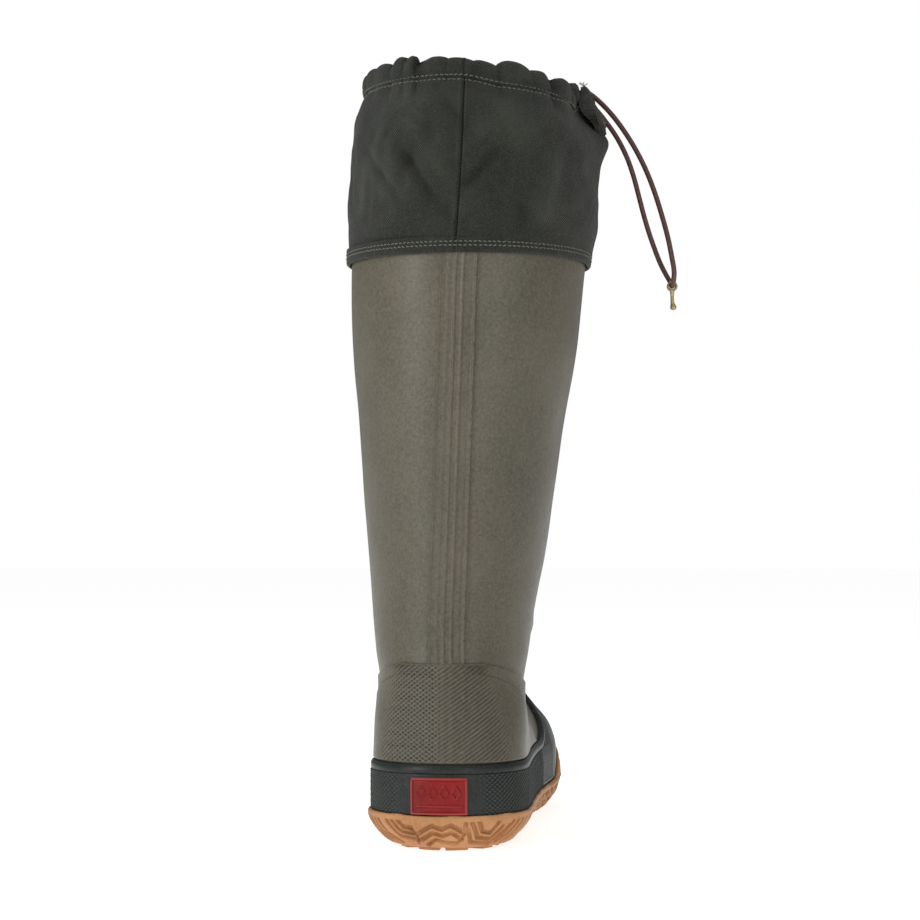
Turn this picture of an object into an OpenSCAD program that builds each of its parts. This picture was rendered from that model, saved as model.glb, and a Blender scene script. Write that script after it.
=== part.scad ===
// Tall insulated rubber boot for the right foot, with a canvas collar and a drawcord.
// +Y points to the toe, +X to the outer side of the leg, +Z up. The origin lies on the
// ground under the middle of the heel. Lengths are in millimetres.

/* [Size] */
// Height of the gathered rim above the ground
boot_h = 420; // [412:1:430]
// Height of the canvas collar above the shaft's hem line
collar_h = 102; // [98:1:106]
// Distance from the heel's middle back to the back of the upper
heel_back = 43; // [42:1:44]
// Distance from the heel's middle forward to the toe of the upper
toe_front = 250; // [246:1:254]
// Half width of the shaft at the hem
shaft_r = 64; // [63:1:65]
// Half width of the ankle
ankle_r = 39.3; // [38.8:0.1:39.8]
// Half width of the heel above the sole
heel_r = 40.5; // [40:0.5:41.5]
// Half width of the upper at the ball of the foot
ball_r = 44; // [43:0.5:45]
// Sideways lean of the shaft's top towards the outer side
lean = 11.4; // [9:0.2:12]

/* [Sole] */
// Height of the outsole's edge at the heel
sole_h = 20; // [19:1:22]
// Height of the toe bumper's edge
bumper_h = 36; // [32:1:38]
// Depth of the tread lugs
lug_h = 4.5; // [4:0.5:5]
// Rise of the toe from the ground
toe_spring = 11; // [8:1:13]

/* [Layers] */
// Thickness of the rubber upper
rubber_t = 1.6; // [1.4:0.1:1.8]
// Thickness of the inner rubber reinforcements
reinforce_t = 1.1; // [1:0.1:1.3]
// Thickness of the foam insulation
foam_t = 4.5; // [4:0.5:5]
// Thickness of the fleece lining
lining_t = 1.2; // [1:0.1:1.4]
// Clearance between neighbouring layers
gap = 0.3; // [0.25:0.05:0.35]

/* [Outer rubber] */
// Thickness of the ankle overlay
overlay_t = 1.4; // [1.2:0.1:1.6]
// Thickness of the foxing, the side panels and the toe cap
foxing_t = 2.4; // [2.2:0.1:2.6]
// Thickness of the trim strip
trim_t = 2.9; // [2.7:0.1:3.1]
// Width of the trim strip
trim_w = 4.8; // [4.6:0.1:5]
// Width of the heel label
label_w = 30.4; // [28:0.4:31]
// Height of the heel label
label_h = 19.4; // [18:0.2:19.6]
// Width of the ribbed back stay
stay_w = 20; // [18:1:22]
// Distance of the back stay's middle from the back line, towards the outer side
stay_x = 3.5; // [2:0.5:4]

/* [Collar] */
// Thickness of the canvas wall
canvas_t = 1.4; // [1.2:0.1:1.8]
// Height of the drawcord channel
channel_h = 12; // [11:1:13]
// Width of the drawcord channel across its fold
channel_w = 8; // [7.5:0.5:8.5]

/* [Drawcord] */
// Diameter of the drawcord
cord_d = 2.8; // [2.6:0.1:2.9]
// Diameter of the hole in the brass hook's eye
eye_d = 3.5; // [3.3:0.1:3.6]
// Outer diameter of the brass hook's eye
eye_outer_d = 5.8; // [5.4:0.1:6.2]
// Length of the hook's shank below the eye
shank_l = 8.5; // [7:0.5:9.5]

/* [Hidden] */
$fn = 48;

olive = [0.42, 0.40, 0.34];
dark_green = [0.20, 0.24, 0.20];
canvas_green = [0.21, 0.22, 0.19];
gum = [0.74, 0.52, 0.31];
charcoal = [0.22, 0.22, 0.23];
cord_brown = [0.30, 0.19, 0.16];

hem_z = boot_h - collar_h;
shaft_top = hem_z + 12;
lining_top = hem_z + 16;
board_z = sole_h + gap + 0.9;
board_t = 2.6;
foot_floor = board_z + board_t + gap;
foxing_z = 41.8;
trim_z = foxing_z + trim_w / 2;
overlay_z = foxing_z + trim_w + 0.4;
overlay_top = 100;
panel_back = 106;
cap_back = 150;

// Lines of the upper's outer face: [height, value].
// Back of the boot, as a distance behind the origin
BACK = [
    [0, heel_back - 3], [sole_h, heel_back - 0.5], [44, heel_back], [80, heel_back - 4],
    [112, heel_back - 7], [150, heel_back - 5], [200, heel_back], [260, heel_back + 6],
    [hem_z, heel_back + 10], [boot_h, heel_back + 12]
];
// Front of the boot, as a distance ahead of the origin
FRONT = [
    [0, toe_front - 2], [sole_h, toe_front], [40, toe_front], [50, toe_front - 3],
    [58, toe_front - 10], [64, toe_front - 21], [69, toe_front - 37], [73, toe_front - 54],
    [78, toe_front - 75], [84, toe_front - 97], [91, toe_front - 116], [100, toe_front - 133],
    [112, toe_front - 148], [128, toe_front - 159], [150, toe_front - 167],
    [180, toe_front - 172], [230, toe_front - 173], [hem_z, toe_front - 169],
    [boot_h, toe_front - 167]
];
// Half width behind the middle of the foot, and of the leg
REAR_W = [
    [0, heel_r - 1], [sole_h, heel_r - 0.5], [44, heel_r - 0.5], [66, ankle_r + 0.5],
    [88, ankle_r], [104, ankle_r + 2.7], [126, ankle_r + 5.4], [160, ankle_r + 9.6],
    [193, ankle_r + 13], [226, ankle_r + 16.3], [270, shaft_r - 3], [304, shaft_r - 0.8],
    [hem_z + 12, shaft_r + 0.2], [boot_h, shaft_r - 0.5]
];
// Half width over the ball of the foot and the instep
FORE_W = [
    [0, ball_r - 1], [sole_h, ball_r], [36, ball_r], [44, ball_r - 2], [51, ball_r - 5],
    [58, ball_r - 9.5], [66, ball_r - 14.5], [73, ball_r - 17], [82, ball_r - 18],
    [92, ball_r - 15], [104, ball_r - 7], [116, ball_r - 1], [126, ankle_r + 4.6],
    [160, ankle_r + 9.6], [193, ankle_r + 13], [226, ankle_r + 16.3], [270, shaft_r - 3],
    [304, shaft_r - 0.8], [hem_z + 12, shaft_r + 0.2], [boot_h, shaft_r - 0.5]
];
// Lean of the leg to the outer side, as a share of the lean at the top
LEAN = [
    [60, 0], [90, -0.04], [104, -0.08], [126, -0.06], [160, 0.09], [193, 0.23], [226, 0.37],
    [270, 0.56], [304, 0.68], [340, 0.88], [380, 1.03], [boot_h, 1]
];
// Depth of the rounded back
BACK_ARC = [[0, 40], [60, 42], [100, 52], [150, 59], [220, 58], [boot_h, 66]];
// Depth of the rounded front
FRONT_ARC = [
    [0, 68], [46, 70], [60, 86], [72, 96], [86, 92], [100, 84], [118, 72], [140, 62],
    [180, 58], [220, 58], [boot_h, 66]
];

// Heights of the rings on the upper, closer together where the toe's top lies flat
UPPER_Z = [
    sole_h + gap, 32, 44, 53, 60, 66, 71, 75.5, 80, 86, 93, 101, 112, 126, 145, 170, 200,
    240, 285, shaft_top
];
// Places round the boot: 0 is the back, 1 the side behind, 2 the side ahead, 3 the toe
HALF_U = [0, 0.2, 0.4, 0.6, 0.8, 1, 1.25, 1.5, 1.75, 2, 2.2, 2.4, 2.6, 2.8];
RING_U = concat([3], [for (i = [len(HALF_U) - 1:-1:0]) HALF_U[i]],
    [for (i = [1:len(HALF_U) - 1]) -HALF_U[i]]);
// The upper's rows and columns of points, upwards and from -3 to 3
UPPER_ROWS = [for (z = UPPER_Z) [z]];
UPPER_COLS = concat([[-3]], [for (i = [len(RING_U) - 1:-1:0]) [RING_U[i]]]);

// ---- Curves and surfaces ----

function smooth(t) = t <= 0 ? 0 : t >= 1 ? 1 : t * t * (3 - 2 * t);
function mix(a, b, t) = a + (b - a) * t;
function unit(v) = v / norm(v);
function segment(p, x, i = 0) = (i >= len(p) - 2 || x < p[i + 1][0]) ? i : segment(p, x, i + 1);
function slope(p, i) =
    let (a = p[max(i - 1, 0)], b = p[min(i + 1, len(p) - 1)]) (b[1] - a[1]) / (b[0] - a[0]);

// Smooth curve through the points [x, value]
function curve(p, x) =
    let (i = segment(p, x), h = p[i + 1][0] - p[i][0])
    let (t = max(0, min(1, (x - p[i][0]) / h)))
    let (a = p[i][1], b = p[i + 1][1], ma = slope(p, i) * h, mb = slope(p, i + 1) * h)
    a + ma * t + (3 * (b - a) - 2 * ma - mb) * t * t + (ma + mb - 2 * (b - a)) * t * t * t;

// Sideways line of the foot's middle, and the lean of the shaft
function foot_x(y) = 1.5 * smooth((y - 20) / 60) - 12 * smooth((y - 80) / 190);
function lean_x(z) = lean * curve(LEAN, z);
// Rise of the sole towards the toe
function spring(y) = toe_spring * pow(max(0, (y - 140) / (toe_front - 140)), 2);

// Point on the upper's outer face at height z and place u
function face(z, u) =
    let (side = u < 0 ? -1 : 1, a = abs(u))
    let (yb = -curve(BACK, z), yf = curve(FRONT, z), rb = curve(BACK_ARC, z), rf = curve(FRONT_ARC, z))
    let (wr = curve(REAR_W, z), wf = curve(FORE_W, z))
    let (waist = (side < 0 ? 5 : 5.5) * (1 - smooth((z - 40) / 50)))
    let (t = max(0, min(1, a - 1)))
    let (w = mix(wr, wf, smooth(t)) - waist * pow(sin(180 * t), 2))
    let (x = a < 1 ? wr * sin(90 * a) : a < 2 ? w : wf * cos(90 * (a - 2)))
    let (y = a < 1 ? yb + rb * (1 - cos(90 * a))
        : a < 2 ? mix(yb + rb, yf - rf, t) : yf - rf + rf * sin(90 * (a - 2)))
    [side * x + foot_x(y) * (1 - smooth((z - 60) / 60)) + lean_x(z), y, z + spring(y)];

// Outward direction of that face
function outward(z, u) =
    let (du = 0.02, dz = 0.5, s = u >= 3 - du ? -1 : 1)
    let (along = (face(z, u + s * du) - face(z, u)) * s, up = face(z + dz, u) - face(z - dz, u))
    unit(cross(along, up));

// Point at a distance off the outer face
function skin(z, u, off) = face(z, u) + off * outward(z, u);

// Place u of the point at height z and distance y along the foot
function place(z, y) =
    let (yb = -curve(BACK, z), yf = curve(FRONT, z), rb = curve(BACK_ARC, z), rf = curve(FRONT_ARC, z))
    y < yb + rb ? acos(max(-1, min(1, 1 - (y - yb) / rb))) / 90
        : y < yf - rf ? 1 + (y - yb - rb) / (yf - rf - yb - rb)
        : 2 + asin(min(1, (y - yf + rf) / rf)) / 90;

// ---- Solids from rings and grids of points ----

// Two triangles of a quad, split along either of its diagonals
function halves(q) = [[q[0], q[1], q[2]], [q[0], q[2], q[3]]];
function other_halves(q) = [[q[1], q[2], q[3]], [q[1], q[3], q[0]]];
// The same diagonal for walls whose rings run up and for those that run down
function wall(q, down) = down ? other_halves(q) : halves(q);
function flat(list) = [for (part = list) for (item = part) item];

// Closed band of rings; the last ring joins the first
module sleeve(rings) {
    rows = len(rings);
    cols = len(rings[0]);
    polyhedron(flat(rings), flat([
        for (j = [0:rows - 1]) for (i = [0:cols - 1])
            let (k = (i + 1) % cols, up = (j + 1) % rows, down = rings[up][i][2] < rings[j][i][2])
            wall([j * cols + i, j * cols + k, up * cols + k, up * cols + i], down)
    ]));
}

// Stack of full rings, closed across the boot at the first and the last
module stack(rings) {
    rows = len(rings);
    cols = len(rings[0]);
    top = (rows - 1) * cols;
    polyhedron(flat(rings), concat(
        flat([
            for (j = [0:rows - 2]) for (i = [0:cols - 1])
                let (k = (i + 1) % cols, down = rings[j + 1][i][2] < rings[j][i][2])
                wall([j * cols + i, j * cols + k, (j + 1) * cols + k, (j + 1) * cols + i], down)
        ]),
        flat([
            for (i = [1:cols / 2 - 2])
                halves([i + 1, i, cols - i, cols - i - 1])
        ]),
        [[1, 0, cols - 1], [cols / 2, cols / 2 - 1, cols / 2 + 1]],
        flat([
            for (i = [1:cols / 2 - 2])
                halves([top + i, top + i + 1, top + cols - i - 1, top + cols - i])
        ]),
        [[top, top + 1, top + cols - 1], [top + cols / 2 - 1, top + cols / 2, top + cols / 2 + 1]]
    ));
}

// Plate between an outer and an inner grid of points, rows upwards
module plate(outer, inner) {
    rows = len(outer) - 1;
    cols = len(outer[0]) - 1;
    n = cols + 1;
    in0 = (rows + 1) * n;
    polyhedron(concat(flat(outer), flat(inner)), flat(concat(
        [
            for (r = [0:rows - 1]) for (c = [0:cols - 1])
                halves([r * n + c, r * n + c + 1, (r + 1) * n + c + 1, (r + 1) * n + c])
        ],
        [
            for (r = [0:rows - 1]) for (c = [0:cols - 1])
                other_halves([
                    in0 + (r + 1) * n + c, in0 + (r + 1) * n + c + 1,
                    in0 + r * n + c + 1, in0 + r * n + c
                ])
        ],
        [for (c = [0:cols - 1]) halves([c + 1, c, in0 + c, in0 + c + 1])],
        [
            for (c = [0:cols - 1])
                halves([rows * n + c, rows * n + c + 1, in0 + rows * n + c + 1, in0 + rows * n + c])
        ],
        [for (r = [0:rows - 1]) halves([r * n, (r + 1) * n, in0 + (r + 1) * n, in0 + r * n])],
        [
            for (r = [0:rows - 1])
                halves([
                    (r + 1) * n + cols, r * n + cols, in0 + r * n + cols, in0 + (r + 1) * n + cols
                ])
        ]
    )));
}

// Solid through closed loops of points, with a flat face at each end
module loft(rows) {
    n = len(rows);
    k = len(rows[0]);
    polyhedron(flat(rows), concat(
        flat([
            for (i = [0:n - 2]) for (j = [0:k - 1])
                halves([i * k + j, i * k + (j + 1) % k, (i + 1) * k + (j + 1) % k, (i + 1) * k + j])
        ]),
        [[for (j = [k - 1:-1:0]) j]],
        [[for (j = [0:k - 1]) (n - 1) * k + j]]
    ));
}

// Round tube with eight sides along points; side0 is any direction across its start
module tube(points, side0, d) {
    n = len(points);
    ways = [for (i = [0:n - 1]) unit(points[min(i + 1, n - 1)] - points[max(i - 1, 0)])];
    sides = [for (i = 0, s = side0; i < n;
        i = i + 1, s = unit(s - (s * ways[min(i, n - 1)]) * ways[min(i, n - 1)])) s];
    loft([for (i = [0:n - 1]) [
        for (a = [0:45:315])
            points[i] + d / 2 * (cos(a) * sides[i] + sin(a) * cross(sides[i], ways[i]))
    ]]);
}

// Ring round the boot at one height and one distance off the face
function ring(z, off) = [for (u = RING_U) skin(z, u, off)];

// Point off the flat facets between the upper's rows and columns
function facet(z, place_u, off) =
    let (u = place_u > 3 ? place_u - 6 : place_u)
    let (i = segment(UPPER_ROWS, z), j = segment(UPPER_COLS, u))
    let (z0 = UPPER_Z[i], z1 = UPPER_Z[i + 1], u0 = UPPER_COLS[j][0], u1 = UPPER_COLS[j + 1][0])
    let (tz = (z - z0) / (z1 - z0), tu = (u - u0) / (u1 - u0))
    mix(mix(skin(z0, u0, off), skin(z0, u1, off), tu), mix(skin(z1, u0, off), skin(z1, u1, off), tu), tz);

// Grid over part of the boot: from(z) and to(z) give its edges at each height. Its other columns
// are the upper's own, pressed together where an edge crosses them.
PATCH_U = concat([for (u = HALF_U) if (u >= 1.5) 6 - u], RING_U);
function patch(heights, from, to, off) =
    let (high = max([for (z = heights) from(z)]), low = min([for (z = heights) to(z)]))
    let (cols = [for (u = PATCH_U) if (u < high - 0.02 && u > low + 0.02) u], n = len(cols))
    [for (z = heights) let (a = from(z), b = to(z)) [
        for (c = [0:n + 1])
            facet(z, c == 0 ? a : c == n + 1 ? b
                : max(b + 0.01 * (n + 1 - c), min(a - 0.01 * c, cols[c - 1])), off)
    ]];

// ---- Sole ----

function sole_top(y) = sole_h + (bumper_h - sole_h) * smooth((y - 150) / 70);

// How far a place lies in the forefoot, from 0 to 1
function fore(y) = smooth((y - 90) / 60);

// One ring of the outsole: distance off the face and height, each at the heel and ahead
function sole_ring(off, off_ahead, height, height_ahead) = [
    for (u = RING_U)
        let (y = face(sole_h, u)[1], share = fore(y), p = skin(sole_h, u, mix(off, off_ahead, share)))
        [p[0], p[1], mix(height, height_ahead, share) + spring(y)]
];

// Ring that follows the sole's top edge at a distance below it
function edge_ring(off, below) = [
    for (u = RING_U)
        let (y = face(sole_h, u)[1], p = skin(sole_h, u, off))
        [p[0], p[1], sole_top(y) - below + spring(y)]
];

// Level ring for the flat pieces inside the sole
function flat_ring(off, height) = sole_ring(off, off, height, height);

module lug(y, w, thick, sweep_back) {
    translate([foot_x(y), y, spring(y)])
        linear_extrude(lug_h + 1)
            polygon([
                [-w, -thick / 2 - sweep_back], [0, -thick / 2], [w, -thick / 2 - sweep_back],
                [w, thick / 2 - sweep_back], [0, thick / 2], [-w, thick / 2 - sweep_back]
            ]);
}

module outsole() {
    inner_off = foxing_t + 2.8 * gap;
    floor_z = lug_h + 4.5;
    lug_w = 46;
    lug_t = 8;
    lug_rows = [-31, -16, 0, 16, 32, 50, 68, 86, 104, 122, 140, 158, 176, 194, 211, 228];
    color(gum)
        union() {
            stack([
                sole_ring(-14, -14, lug_h - 0.9, lug_h - 1.1),
                sole_ring(-10.5, -8, lug_h - 2.7, lug_h - 1.9),
                sole_ring(-7, -4, lug_h - 1.6, lug_h - 0.9),
                sole_ring(-1.8, -0.5, lug_h + 2.5, lug_h + 1.5),
                sole_ring(2, 3.5, lug_h + 7, lug_h + 7),
                sole_ring(4.3, 5.2, sole_h - 3.2, sole_h - 1.6),
                edge_ring(inner_off + 1.4, 0.6),
                edge_ring(inner_off + 0.5, 0),
                edge_ring(inner_off, 0.2),
                flat_ring(inner_off - 0.1, sole_h - 0.3),
                flat_ring(-gap, sole_h - 0.4),
                sole_ring(-4, -5, floor_z, floor_z + 2)
            ]);
            intersection() {
                union()
                    for (y = lug_rows)
                        lug(y, lug_w, lug_t, y < 40 ? 5 : 7);
                linear_extrude(sole_h)
                    polygon([for (p = sole_ring(-9, -6, 0, 0)) [p[0], p[1]]]);
            }
        }
}

module midsole() {
    color("gainsboro")
        stack([
            sole_ring(-4.5, -5.8, lug_h + 4.8, lug_h + 6.8),
            flat_ring(-2 * gap, sole_h)
        ]);
}

module shank() {
    shank_w = 18;
    shank_t = 1.5;
    color("silver")
        translate([-shank_w / 2, -24, sole_h - 5])
            cube([shank_w, 124, shank_t]);
}

module insole_board() {
    color("burlywood")
        stack([
            flat_ring(-rubber_t - gap, sole_h + gap),
            flat_ring(-rubber_t - gap, board_z + board_t)
        ]);
}

// Thickness of the reinforcements under the upper at a place
function reinforced(z, u) =
    let (heel = 1 - smooth((abs(u) - 1.2) / 0.2), toe = smooth((abs(u) - 1.95) / 0.2))
    max(heel * (1 - smooth((z - 84) / 6)), toe * (1 - smooth((z - 74) / 6)));

function foam_off(z, u) = -rubber_t - gap - (reinforce_t + gap) * reinforced(z, u);

module footbed() {
    off = -rubber_t - reinforce_t - foam_t - lining_t - 5 * gap;
    floor_z = foot_floor + 3 + lining_t + 2 * gap;
    color("dimgray")
        stack([
            flat_ring(off - 1, floor_z),
            flat_ring(off, floor_z + 5)
        ]);
}

// ---- Upper ----

module rubber_upper() {
    color(olive)
        sleeve(concat(
            [for (z = UPPER_Z) ring(z, 0)],
            [for (i = [len(UPPER_Z) - 1:-1:0]) ring(UPPER_Z[i], -rubber_t)]
        ));
}

// Boot-shaped sock: outer rings down to the floor, inner rings down to the inner floor
module sock(top, off_out, off_in, floor_z, floor_t) {
    between = [for (z = UPPER_Z) if (z > floor_z + floor_t + 3 && z < shaft_top - 1) z];
    outside = concat([floor_z], between, [top]);
    inside = concat([floor_z + floor_t], between, [top]);
    last = len(inside) - 1;
    stack(concat(
        [for (z = outside) [for (u = RING_U) facet(z, u, off_out(z, u))]],
        [for (i = [last:-1:0]) [for (u = RING_U) facet(inside[i], u, off_in(inside[i], u))]]
    ));
}

module insulation() {
    color(charcoal)
        sock(lining_top,
            function(z, u) foam_off(z, u),
            function(z, u) foam_off(z, u) - foam_t,
            foot_floor, 3);
}

module lining() {
    color("darkgray")
        sock(lining_top,
            function(z, u) foam_off(z, u) - foam_t - gap,
            function(z, u) foam_off(z, u) - foam_t - gap - lining_t,
            foot_floor + 3 + gap, lining_t);
}

module heel_counter() {
    from = function(z) 1;
    to = function(z) -1;
    heights = [foot_floor, 32, 44, 53, 60, 66, 71, 75.5, 80];
    color("black")
        plate(patch(heights, from, to, -rubber_t - gap),
            patch(heights, from, to, -rubber_t - gap - reinforce_t));
}

module toe_puff() {
    from = function(z) 3.8;
    to = function(z) 2.2;
    heights = [foot_floor, 32, 44, 53, 60, 66, 71];
    color("black")
        plate(patch(heights, from, to, -rubber_t - gap),
            patch(heights, from, to, -rubber_t - gap - reinforce_t));
}

// ---- Outer rubber pieces ----

// Front edge of the ankle overlay at each height, as a distance along the foot
OVERLAY_EDGE = [
    [46, 103], [54, 86], [61, 71], [70, 52], [80, 30], [88, 10], [94, -10], [overlay_top, -30]
];

module ankle_overlay() {
    edge = function(z) place(z, curve(OVERLAY_EDGE, z));
    other = function(z) -place(z, curve(OVERLAY_EDGE, z));
    heights = [overlay_z, 53, 60, 66, 71, 75.5, 80, 83, 86, 88, 90.5, 93, 95, 97, 98.5, overlay_top];
    color(olive)
        plate(patch(heights, edge, other, gap + overlay_t), patch(heights, edge, other, 1.8 * gap));
}

module back_stay() {
    cols = 12;
    heights = [overlay_top + 1, 112, 126, 145, 170, 200, 240, 285, hem_z - 2.6];
    rise = function(c) c % 4 == 0 ? 0.5 : c % 4 == 2 ? 1.5 : 1;
    at = function(z, c) asin((stay_x + stay_w * (0.5 - c / cols)) / curve(REAR_W, z)) / 90;
    color(olive)
        plate(
            [for (z = heights) [for (c = [0:cols]) facet(z, at(z, c), gap + rise(c))]],
            [for (z = heights) [for (c = [0:cols]) facet(z, at(z, c), gap)]]
        );
}

module foxing() {
    from = function(z) place(z, panel_back - 0.4);
    to = function(z) -place(z, panel_back - 0.4);
    heights = [sole_h + gap, 26, 32, foxing_z - 0.4];
    color(dark_green)
        plate(patch(heights, from, to, gap + foxing_t), patch(heights, from, to, gap));
}

// Back edge of the side panels at each height, below and ahead of the trim strip
PANEL_EDGE = [
    [foxing_z - 0.6, panel_back], [42.8, 119.5], [45.6, 127.6], [48.8, 133.6], [53.5, 139.2],
    [60, 143.4]
];

module side_panel(side) {
    heights = [sole_h + gap, 32, foxing_z - 0.6, 42.8, 44, 45.6, 48.8, 53, 56.5, 60];
    edge = function(z) z < foxing_z ? panel_back : curve(PANEL_EDGE, z);
    near = function(z) side * place(z, side > 0 ? cap_back - 0.5 : edge(z));
    far = function(z) side * place(z, side > 0 ? edge(z) : cap_back - 0.5);
    color(dark_green)
        plate(patch(heights, near, far, gap + foxing_t), patch(heights, near, far, gap));
}

module side_panel_outer() side_panel(1);
module side_panel_inner() side_panel(-1);

module toe_cap() {
    heights = [sole_h + gap, 32, 38, 44, 53, 60, 66, 69, 71, 73.5, 75.5, 78, 80, 82.5, 84.6];
    from = function(z) 6 - place(z, cap_back);
    to = function(z) place(z, cap_back);
    color(dark_green)
        plate(patch(heights, from, to, gap + foxing_t), patch(heights, from, to, gap));
}

// Route of the trim strip's middle: along the top of the foxing, then over the instep
TRIM_RISE = [
    [trim_z + 0.4, 110], [46, 118], [49, 126], [53.5, 133], [60, 138.5], [67, 142],
    [74, 144], [80, 145], [84, 144.5]
];
TRIM_HALF = concat(
    [for (i = [0:9]) [trim_z, i * 0.11]],
    [for (y = [15:14:100]) [trim_z, place(trim_z, y)]],
    [for (p = TRIM_RISE) [p[0], place(p[0], p[1])]]
);

module trim_strip() {
    n = len(TRIM_HALF);
    places = concat([[87.2, 3]], [for (i = [n - 1:-1:0]) TRIM_HALF[i]],
        [for (i = [1:n - 1]) [TRIM_HALF[i][0], -TRIM_HALF[i][1]]]);
    m = len(places);
    mid = [for (p = places) face(p[0], p[1])];
    out = [for (p = places) outward(p[0], p[1])];
    down = [for (i = [0:m - 1]) unit(cross(out[i], mid[(i + 1) % m] - mid[(i + m - 1) % m]))];
    w = trim_w / 2;
    base = 0.5;
    shape = [
        [w, trim_t - 0.7], [w - 0.8, trim_t], [-w + 0.8, trim_t], [-w, trim_t - 0.7], [-w, base], [w, base]
    ];
    color(dark_green)
        sleeve([for (s = shape) [for (i = [0:m - 1]) mid[i] + (gap + s[1]) * out[i] + s[0] * down[i]]]);
}

module heel_label() {
    low = sole_h + 0.9;
    off = foxing_t + 2 * gap;
    reach = function(z) asin(label_w / 2 / curve(REAR_W, z)) / 90;
    other = function(z) -reach(z);
    heights = [low, low + label_h / 2, low + label_h];
    color("firebrick")
        plate(patch(heights, reach, other, off + 1.8), patch(heights, reach, other, off));
}

// ---- Collar ----

channel_z = boot_h - channel_h / 2 - 0.5;
wall_top = channel_z - channel_h / 2 - gap;
// Distance of the canvas wall's outer face off the shaft's own face line
WALL_OFF = [
    [hem_z - 2, 3.8], [hem_z + 12, 4.2], [hem_z + 40, 4.3], [boot_h - 36, 4.2],
    [boot_h - 24, 2.4], [wall_top, -4.4]
];

module collar_wall() {
    heights = [hem_z + 6.2, hem_z + 20, hem_z + 36, hem_z + 52, boot_h - 36, boot_h - 27, wall_top];
    color(canvas_green)
        sleeve(concat(
            [for (z = heights) ring(z, curve(WALL_OFF, z))],
            [for (i = [len(heights) - 1:-1:0]) ring(heights[i], curve(WALL_OFF, heights[i]) - canvas_t)]
        ));
}

module collar_hem() {
    shape = [
        [gap, -1.2], [2.6, -2.2], [4, -1.8], [4.6, -0.8], [4.3, 0.6], [4.3, 5.5], [3.9, 5.9],
        [2, 5.9], [gap + 0.2, 4]
    ];
    color(canvas_green)
        sleeve([for (p = shape) ring(hem_z + p[1], p[0])]);
}

// Mouth of the channel on the outer side, where the drawcord comes out
mouth_y = 32;
mouth_gap = 12;
rim_off = -5.3;
mouth_back = place(channel_z, mouth_y - mouth_gap / 2);
mouth_front = place(channel_z, mouth_y + mouth_gap / 2);

// Places round the rim from the front lip of the mouth, past the toe side, to its back lip
function rim_places(n) = [
    for (i = [0:n]) let (s = i / n, u = mix(mouth_front, 6 + mouth_back, s)) u > 3 ? u - 6 : u
];

// Folded canvas tube with its stitched lips at the bottom
module drawcord_channel() {
    w = channel_w / 2;
    h = channel_h / 2;
    t = 1.1;
    shape = [
        [0.15, -h], [w - 1.2, -h + 3.5], [w, 0.5], [w - 1, h - 1.6], [0, h], [-w + 1, h - 1.6],
        [-w, 0.5], [-w + 1.2, -h + 3.5], [-0.15, -h], [-0.15, -h + 1.6], [-w + 1.2 + t, -h + 4.2],
        [-w + t, 0.4], [-w + 1 + t, h - 2.2], [0, h - t], [w - 1 - t, h - 2.2], [w - t, 0.4],
        [w - 1.2 - t, -h + 4.2], [0.15, -h + 1.6]
    ];
    rows = [for (u = rim_places(48)) [for (s = shape) skin(channel_z + s[1], u, rim_off + s[0])]];
    color(canvas_green)
        loft(rows);
}

// Loose fold of canvas that hangs from the channel behind the mouth
TAB_OFF = [[396, 5.4], [402, 3.6], [408, 0.4], [413, -0.9], [418, -0.9]];

module rim_tab() {
    cols = 4;
    near = mouth_y - mouth_gap / 2 - 1;
    far = near - 16;
    grid = function(lift) [for (row = TAB_OFF) [for (c = [0:cols])
        skin(row[0], place(row[0], mix(near, far, c / cols)), row[1] + lift)]];
    color(canvas_green)
        plate(grid(1.5), grid(0));
}

// ---- Drawcord ----

module drawcord_run() {
    color(cord_brown)
        tube([for (u = rim_places(56)) skin(channel_z, u, rim_off)], [0, 0, 1], cord_d);
}

// Route of the free loop: out of the back lip, down to the hook's eye and up to the front lip
ROUTE = [
    [68.6, 28.5, 413.6], [69.8, 30.6, 414], [73.6, 31.8, 413.6], [79.4, 31.4, 408.8],
    [86.4, 30.8, 401.2], [93.4, 30.4, 391.6], [99.8, 30, 381], [105.4, 29.4, 369.5],
    [110, 28.8, 357.5], [114.2, 28, 344], [117.4, 27.2, 332], [119.6, 26.6, 321],
    [120.8, 26.3, 313.5], [120.4, 27.8, 308.2], [119.5, 32, 305.8], [118.6, 36.2, 308.2],
    [115.6, 37.7, 313.5], [112, 37.4, 321], [107.6, 36.6, 333], [104.2, 35.8, 344],
    [101.2, 35, 355.5], [98.2, 34.4, 367], [94.4, 34, 378], [89.2, 33.8, 388.5],
    [82.8, 33.6, 398], [76.8, 33.2, 405.4], [71.4, 33.4, 410.4], [69.2, 35.2, 413]
];

// Points on a smooth line through the route, n to each stretch
function along(p, n) =
    let (last = len(p) - 1)
    concat([
        for (i = [0:last - 1]) for (k = [0:n - 1])
            let (a = p[max(i - 1, 0)], b = p[i], c = p[i + 1], d = p[min(i + 2, last)], t = k / n)
            b + (c - a) * t / 2 + (2 * a - 5 * b + 4 * c - d) * t * t / 2
                + (3 * b - a - 3 * c + d) * t * t * t / 2
    ], [p[last]]);

module drawcord_loop() {
    color(cord_brown)
        tube(along(ROUTE, 3), [0, 0, 1], cord_d);
}

// Brass hook: an eye round the cord, a shank and a rounded foot
eye_at = [119.5, 32, 305.8];
eye_t = 1.8;

module cord_hook() {
    color("darkkhaki")
        translate(eye_at)
            union() {
                rotate([90, 0, 0])
                    rotate_extrude()
                        translate([(eye_d + eye_outer_d) / 4, 0])
                            square([(eye_outer_d - eye_d) / 2, eye_t], center = true);
                translate([0, 0, -eye_outer_d / 2 - shank_l + 0.4])
                    cylinder(h = shank_l, d = 2.2);
                translate([0, 0, -eye_outer_d / 2 - shank_l + 0.4])
                    sphere(d = 3.6);
            }
}

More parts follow.
